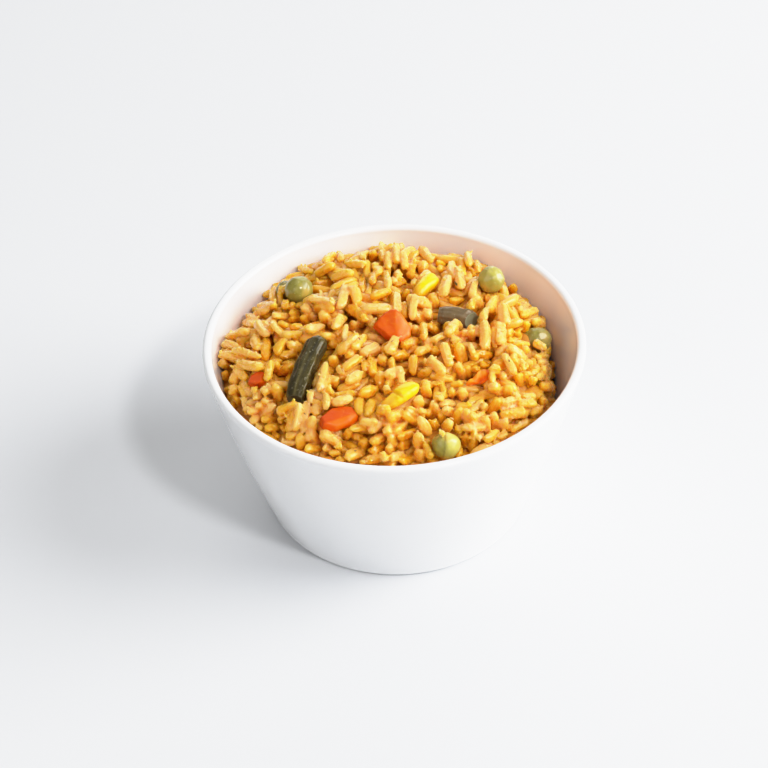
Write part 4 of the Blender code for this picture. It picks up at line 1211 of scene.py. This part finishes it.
def shred(x, y, side):
    """A torn shaving: ribbed, with a deep crease and a lifted edge."""
    ribs = 0.34 * np.sin(7 * x + 2 * y) + 0.22 * np.sin(15 * x - 4 * y)
    drop = np.where(side > 0, ribs + 0.5 * y - 0.8 * np.exp(-(((y + 0.35) / 0.3) ** 2)) * step(-x, -0.6, 0.2), 0.3 * ribs)
    # The mark is painted light and shade: lighter on the rib crests, darker in the crease
    return drop, np.clip(0.85 + 0.6 * ribs - 0.8 * np.exp(-(((y + 0.35) / 0.35) ** 2)), 0, 1)


def carrot_material():
    n = Nodes("carrot")
    tint, mark = n.attribute("tint"), n.attribute("mark")
    # mark brings the painted light and shade on the facets
    level = n.math("ADD", n.math("MULTIPLY", mark, 0.55), n.math("MULTIPLY", tint, 0.45))
    level = n.math("ADD", level, n.range(n.noise(180.0, 4.0, 0.65), 0.3, 0.7, -0.14, 0.14))
    base = n.ramp(level, [(0.0, (0.46, 0.036, 0.001)), (0.35, (0.70, 0.088, 0.001)), (0.7, (0.86, 0.155, 0.002)), (1.0, (0.93, 0.29, 0.012))], "LINEAR")
    stretch = n.add("ShaderNodeMapping")
    stretch.inputs["Scale"].default_value = (1.0, 1.0, 4.5)
    n.link(n.coords, stretch.inputs["Vector"])
    fibre = n.noise(520.0, 3.0, 0.65, coords=stretch.outputs[0])
    base = n.mix(n.range(fibre, 0.56, 0.74, 0.0, 0.35), base, (0.95, 0.30, 0.02))
    base = n.mix(n.range(n.noise(95.0, 2.0), 0.58, 0.72, 0.0, 0.35), base, (0.55, 0.045, 0.001))
    rough = n.range(n.noise(420.0, 2.0), 0.3, 0.7, 0.30, 0.50)
    normal = n.bump(fibre, 0.10, 0.6, n.bump(n.noise(260.0, 2.0), 0.12, 0.5))
    return n.set(color=base, rough=rough, normal=normal, sss=0.3, radius=(1.0, 0.35, 0.08), sss_scale=0.0010, ior=1.36, coat=0.08, coat_rough=0.2, tint=(1.0, 0.8, 0.6))


def make_kernel(name, spec, mat, tint, folded):
    """A kernel along X: broad at the crown (+X), pinched at the tip, soft-cornered across."""
    s = -np.cos(np.pi * np.arange(1, 52) / 52)[:, None]
    th = (2 * np.pi * np.arange(52) / 52)[None]
    end = (1 - np.where(s > 0, np.abs(s) ** 4.5, np.abs(s) ** 3.4)) ** 0.5
    wide = spec["width"] * (0.43 if folded else 0.385) * end * (0.80 + 0.20 * step(s, -0.9, 0.4))
    high = spec["thick"] / 2 * end * (0.86 + 0.14 * step(s, -0.8, 0.5))
    c, v = np.cos(th), np.sin(th)
    y, z = wide * np.sign(c) * np.abs(c) ** 0.82, high * np.sign(v) * np.abs(v) ** 0.86
    x = spec["length"] / 2 * s + 0 * th
    mark = np.broadcast_to(step(s, -0.95, 0.0), y.shape).copy()
    upper = np.clip(v, 0, 1) ** 0.7
    if folded:
        # The skin is empty and folded over itself: a pleat across, a crease along, a flat crown
        pleat = np.exp(-(((s + 0.12 + 0.20 * y / spec["width"]) / 0.07) ** 2))
        z = z - upper * (0.75 * pleat + 0.55 * step(-s, 0.05, 0.35)) - upper * 0.5 * step(s, 0.1, 0.8)
        z = z + upper * 0.45 * np.exp(-(((y - 0.8) / 0.8) ** 2)) * step(-s, -0.1, 0.3)
        y = y * (1 - 0.05 * step(-s, 0.0, 0.5)) + 0.5 * np.sin(2.2 * s)
        # Painted shade in the pleat, and darker towards the tip
        mark = mark * (1 - 0.55 * pleat) * (0.72 + 0.28 * step(s, -0.25, 0.1))
    else:
        z = z - upper * 0.35 * np.exp(-((y / 0.9) ** 2)) * step(s, 0.1, 0.8)
        y = y + 0.35 * np.sin(1.6 * s + 0.4)
    rings = np.stack([x, y, z], -1)
    seed = sum(ord(c) for c in name)
    rings *= (1 + 0.022 * uneven(rings, seed, 8, 3.5, 8.0) + 0.008 * uneven(rings, seed + 3, 10, 1.2, 2.6))[..., None]
    m = turned(spec["turn"])
    world = lambda p: p @ m.T + spec["centre"]
    first = rings[0].mean(0) + [-0.02, 0, 0]
    last = rings[-1].mean(0) + [0.02, 0, 0]
    obj = lofted(name + "_kernel", world(rings), world(first), world(last), mat, {"mark": mark, "tint": np.full(mark.shape, tint)})
    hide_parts(name)


def corn_material():
    n = Nodes("corn")
    tint, mark = n.attribute("tint"), n.attribute("mark")
    level = n.math("ADD", n.math("MULTIPLY", mark, 0.8), n.math("MULTIPLY", tint, 0.2))
    level = n.math("ADD", level, n.range(n.noise(210.0, 3.0, 0.6), 0.3, 0.7, -0.10, 0.10))
    base = n.ramp(level, [(0.0, (0.70, 0.33, 0.02)), (0.45, (0.90, 0.46, 0.008)), (0.75, (0.96, 0.56, 0.003)), (1.0, (0.97, 0.62, 0.004))], "LINEAR")
    rough = n.range(n.noise(300.0, 2.0), 0.3, 0.7, 0.22, 0.40)
    normal = n.bump(n.noise(360.0, 3.0, 0.55), 0.10, 0.45)
    return n.set(color=base, rough=rough, normal=normal, sss=0.5, radius=(1.0, 0.75, 0.10), sss_scale=0.0014, ior=1.40, coat=0.35, coat_rough=0.10, tint=(1.0, 0.9, 0.5))


def make_bean(name, spec, mat, tint, ribs, slant, fresh):
    """A cut length of pod along X: ribbed skin, sunken between the seeds, ends cut and curling in."""
    s = np.linspace(-1, 1, 92)[:, None]
    th = (2 * np.pi * np.arange(72) / 72)[None]
    half = spec["length"] / 2
    seed = sum(ord(c) for c in name)
    rng = np.random.default_rng(seed)
    skin = 0.045 * np.cos(ribs * th + 0.8 * s + 0.3) + 0.022 * np.cos((ribs * 2 + 1) * th - 0.6 * s + 1.0)
    skin = skin + 0.012 * np.cos(31 * th + 2.0 * s) * (0.5 + 0.5 * np.sin(9 * s + 2 * th))
    seeds = 0.03 * np.cos(2 * np.pi * (s * half) / 7.5 + 1.0)
    near_end = np.minimum(1 - s, 1 + s) * half
    taper = 0.80 + 0.20 * step(near_end, 0.0, 1.5)
    body = taper * (1 + skin * step(near_end, 0.0, 1.0) + seeds)
    c, v = np.cos(th), np.sin(th)
    groove = 1 - 0.10 * np.clip(c, 0, 1) ** 22
    y = spec["width"] / 2 * body * c * groove + spec["bend"] * (s * s - 0.33)
    z = spec["height"] / 2 * body * v
    # The +X end is cut on a slant, both ways
    x = half * s - step(s, -0.9, 1.0) * (slant[0] * (z / spec["height"] + 0.5) + slant[1] * (0.5 - y / spec["width"])) + 0.24 * (slant[0] + slant[1]) * (1 + 0.15 * s)
    rings = [np.stack([x, y, z], -1)]
    mid = lambda r: r.mean(0)
    start, end = rings[0][0], rings[0][-1]
    inside = lambda ring, f, push: mid(ring) + (ring - mid(ring)) * f + [push, 0, 0]
    head = np.array([inside(start, f, p) for f, p in ((0.25, 0.42), (0.5, 0.40), (0.7, 0.30), (0.84, 0.06), (0.95, -0.12))])
    tail = np.array([inside(end, f, -p) for f, p in ((0.95, -0.12), (0.84, 0.06), (0.7, 0.30), (0.5, 0.40), (0.25, 0.42))])
    rings = np.concatenate([head, rings[0], tail])
    cut = np.concatenate([np.ones(5), np.zeros(92), np.ones(5)])[:, None] * np.ones((1, 72))
    # Painted light and shade on the ribs: lighter on the crests, darker between them
    painted_rib_light = np.concatenate([np.full((5, 72), 0.5), np.clip(0.5 + skin * 8, 0, 1) * np.ones((92, 72)), np.full((5, 72), 0.5)])
    rings = rings + (0.05 * uneven(rings, seed + 5, 10, 2.0, 5.0))[..., None] * np.array([0, 1.0, 1.0])
    m = turned(spec["turn"])
    world = lambda p: p @ m.T + spec["centre"]
    first, last = mid(head[0]) + [0.02, 0, 0], mid(tail[-1]) - [0.02, 0, 0]
    marks = {"cut": cut * fresh, "mark": painted_rib_light, "tint": np.full(cut.shape, tint)}
    obj = lofted(name + "_pod", world(rings), world(first), world(last), mat, marks)
    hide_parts(name)


def bean_material():
    n = Nodes("bean")
    tint, mark, cut = n.attribute("tint"), n.attribute("mark"), n.attribute("cut")
    # mark brings the painted light and shade on the ribs
    level = n.math("ADD", n.math("MULTIPLY", mark, 0.6), n.range(n.noise(260.0, 4.0, 0.65), 0.3, 0.7, 0.0, 0.4))
    base = n.ramp(level, [(0.0, (0.014, 0.011, 0.003)), (0.5, (0.042, 0.032, 0.008)), (1.0, (0.11, 0.088, 0.028))], "LINEAR")
    base = n.mix(n.math("MULTIPLY", tint, 0.9), base, (0.20, 0.13, 0.065))
    base = n.mix(cut, base, (0.30, 0.33, 0.20))
    # Pale specks: painted glints on the skin
    speck = n.range(n.noise(1100.0, 2.0), 0.62, 0.72, 0.0, 0.5)
    base = n.mix(speck, base, (0.30, 0.27, 0.17))
    rough = n.range(n.noise(500.0, 3.0), 0.3, 0.7, 0.24, 0.5)
    normal = n.bump(n.noise(760.0, 3.0, 0.6), 0.16, 0.7)
    return n.set(color=base, rough=rough, normal=normal, sss=0.1, radius=(0.8, 1.0, 0.4), sss_scale=0.0006, ior=1.36, coat=0.3, coat_rough=0.06, tint=(1.0, 0.88, 0.6))


def make_vegetables():
    pea, carrot, corn, bean = pea_material(), carrot_material(), corn_material(), bean_material()
    make_pea("pea_1", PEAS["pea_1"], pea, 0.34, 0.9)
    make_pea("pea_2", PEAS["pea_2"], pea, 0.60, 1.0, narrow=0.10)
    make_pea("pea_3", PEAS["pea_3"], pea, 0.30, 0.9)
    make_pea("pea_4", PEAS["pea_4"], pea, 0.44, 0.7, split=True)
    # pea_5 lies behind the others and has the darkest tint: painted shade
    make_pea("pea_5", PEAS["pea_5"], pea, 0.15, 1.0)
    make_carrot("carrot_1", CARROTS["carrot_1"], carrot, 0.62, chunk)
    make_carrot("carrot_2", CARROTS["carrot_2"], carrot, 0.40, slice_of)
    make_carrot("carrot_3", CARROTS["carrot_3"], carrot, 0.40, slice_of)
    make_carrot("carrot_4", CARROTS["carrot_4"], carrot, 1.0, shred)
    make_kernel("corn_1", KERNELS["corn_1"], corn, 1.0, False)
    make_kernel("corn_2", KERNELS["corn_2"], corn, 0.7, True)
    make_bean("bean_1", BEANS["bean_1"], bean, 0.0, 7, (0.0, 0.0), 0.15)
    make_bean("bean_2", BEANS["bean_2"], bean, 0.7, 6, (3.0, 3.2), 1.0)


# ---- the core ----------------------------------------------------------------------------------------------------
def make_core():
    """The rice under the loose grains: a smaller heap with grain-like relief."""
    cols, ranks = 160, 60
    turns = 2 * np.pi * np.arange(cols) / cols
    deg = np.degrees(turns)
    rings = []
    low = FLOOR + FLOOR_ROUND
    start = float(inner_radius(low)) - FLOOR_ROUND
    for r, z in arc((start, low), FLOOR_ROUND - 0.35, -90, 0, 5):
        rings.append(np.c_[r * np.cos(turns), r * np.sin(turns), np.full(cols, z)])
    edge = heap_edge(deg) - 0.6
    top = heap_height(edge * np.cos(turns), edge * np.sin(turns)) - 5.5
    for k in (0.3, 0.6, 0.85):
        z = low + (top - low) * k
        r = np.minimum(inner_radius(z) - 0.4, edge)
        rings.append(np.c_[r * np.cos(turns), r * np.sin(turns), z])
    for k in range(ranks):
        r = edge * (1 - k / ranks)
        x, y = r * np.cos(turns), r * np.sin(turns)
        relief = 0.5 * np.sin(2.1 * x + 0.7 * y) * np.sin(1.7 * y - 0.9 * x + 1.0)
        rings.append(np.c_[x, y, heap_height(x, y) - 6.0 + relief])
    verts = np.concatenate(rings)
    faces = grid_faces(len(rings), cols)
    verts = np.concatenate([verts, [[0, 0, FLOOR + 0.35]], [[0, 0, float(heap_height(0.0, 0.0)) - 6.0]]])
    for j in range(cols):
        k = (j + 1) % cols
        faces.append((k, j, len(verts) - 2))
        faces.append(((len(rings) - 1) * cols + j, (len(rings) - 1) * cols + k, len(verts) - 1))
    n = Nodes("rice_core")
    # Darker than the loose grains: painted shade for the deep gaps between them
    base = n.mix(n.noise(380.0), (0.42, 0.15, 0.008), (0.62, 0.26, 0.02))
    mat = n.set(color=base, rough=0.5, normal=n.bump(n.voronoi(420.0), 0.6, 0.7))
    obj = mesh_object("rice_core", verts, faces, mat)
    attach(obj, "root")
    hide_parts("rice")
    return obj


# ---- the stage -------------------------------------------------------------------------------------------------------
TONE_TOP = 2.0  # the brightest value that the tone curve tells apart
# Soft lights round the bowl: azimuth, elevation, power. The first three stand for a window on the right, the others
# for a pale room.
LIGHTS = (
    (0, 32, 16.6),
    (0, 15, 9.2),
    (-30, 32, 1.4),
    (60, 15, 1.5),
    (90, 15, 4.8),
    (120, 70, 2.9),
    (-90, 40, 0.5),
    (-140, 35, 3.9),
)


def make_stage():
    n = Nodes("floor")
    base = n.mix(n.noise(3.0), (0.725, 0.738, 0.762), (0.74, 0.753, 0.777))
    mat = n.set(color=base, rough=0.6, spec=0.2)
    # A round table top, as far as the lights reach
    turns = 2 * np.pi * np.arange(120) / 120
    obj = mesh_object("floor", np.c_[950 * np.cos(turns), 950 * np.sin(turns), 0 * turns], [tuple(range(120))], mat)
    world = bpy.data.worlds.new("world")
    bpy.context.scene.world = world
    world.use_nodes = True
    world.node_tree.nodes["Background"].inputs["Color"].default_value = (1.0, 1.0, 1.0, 1.0)
    tree = world.node_tree
    # Seen past the floor's edge it is as pale as the floor
    strength = tree.nodes.new("ShaderNodeMapRange")
    tree.links.new(tree.nodes.new("ShaderNodeLightPath").outputs["Is Camera Ray"], strength.inputs["Value"])
    strength.inputs["To Min"].default_value = 0.17
    strength.inputs["To Max"].default_value = 0.90
    tree.links.new(strength.outputs["Result"], tree.nodes["Background"].inputs["Strength"])
    for k, (azimuth, elevation, power) in enumerate(LIGHTS):
        a, e, away = math.radians(azimuth), math.radians(elevation), 1.3
        place = (away * math.cos(e) * math.cos(a), away * math.cos(e) * math.sin(a), away * math.sin(e) + 0.03)
        add_light("light_%d" % k, place, (0, 0, 0.03), 1.0, power, (0.99, 1.0, 1.015) if k < 3 else (1.0, 0.995, 0.975))
    # A small one for the sparkle on wet skins
    add_light("light_small", (0.48, -0.69, 1.03), (0, 0, 0.05), 0.16, 6.0, (1.0, 1.0, 1.0))


def add_light(name, place, target, size, power, colour):
    lamp = bpy.data.lights.new(name, "AREA")
    lamp.shape, lamp.size = "DISK", size
    lamp.energy, lamp.color = power, colour
    obj = bpy.data.objects.new(name, lamp)
    obj.location = place
    obj.rotation_mode = "QUATERNION"
    obj.rotation_quaternion = (Vector(target) - Vector(place)).to_track_quat("-Z", "Y")
    bpy.context.scene.collection.objects.link(obj)
    return obj


def make_tones(view):
    """The picture's tone curve: straight up to 0.7, then easing towards 0.97, as white does in a bright photograph."""
    view.use_curve_mapping = True
    mapping = view.curve_mapping
    mapping.white_level = (TONE_TOP, TONE_TOP, TONE_TOP)
    curve = mapping.curves[3]
    steps = [0.0, 0.2, 0.4, 0.6, 0.7] + [0.7 + 0.1 * k for k in range(1, 14)]
    for k, level in enumerate(steps):
        out = level if level <= 0.7 else 0.7 + 0.27 * (1 - math.exp(-(level - 0.7) / 0.27))
        if k == 0 or k == len(steps) - 1:
            point = curve.points[0 if k == 0 else len(curve.points) - 1]
            point.location = (level / TONE_TOP, out)
        else:
            point = curve.points.new(level / TONE_TOP, out)
        point.handle_type = "VECTOR" if level < 0.65 else "AUTO"
    mapping.update()


# ---- putting it together ------------------------------------------------------------------------------------------------
def main():
    scene = bpy.context.scene
    scene.view_settings.view_transform = "Standard"
    scene.view_settings.look = "None"
    make_tones(scene.view_settings)
    make_camera()
    make_stage()
    make_bowl()
    make_vegetables()
    make_core()
    make_grains()


main()
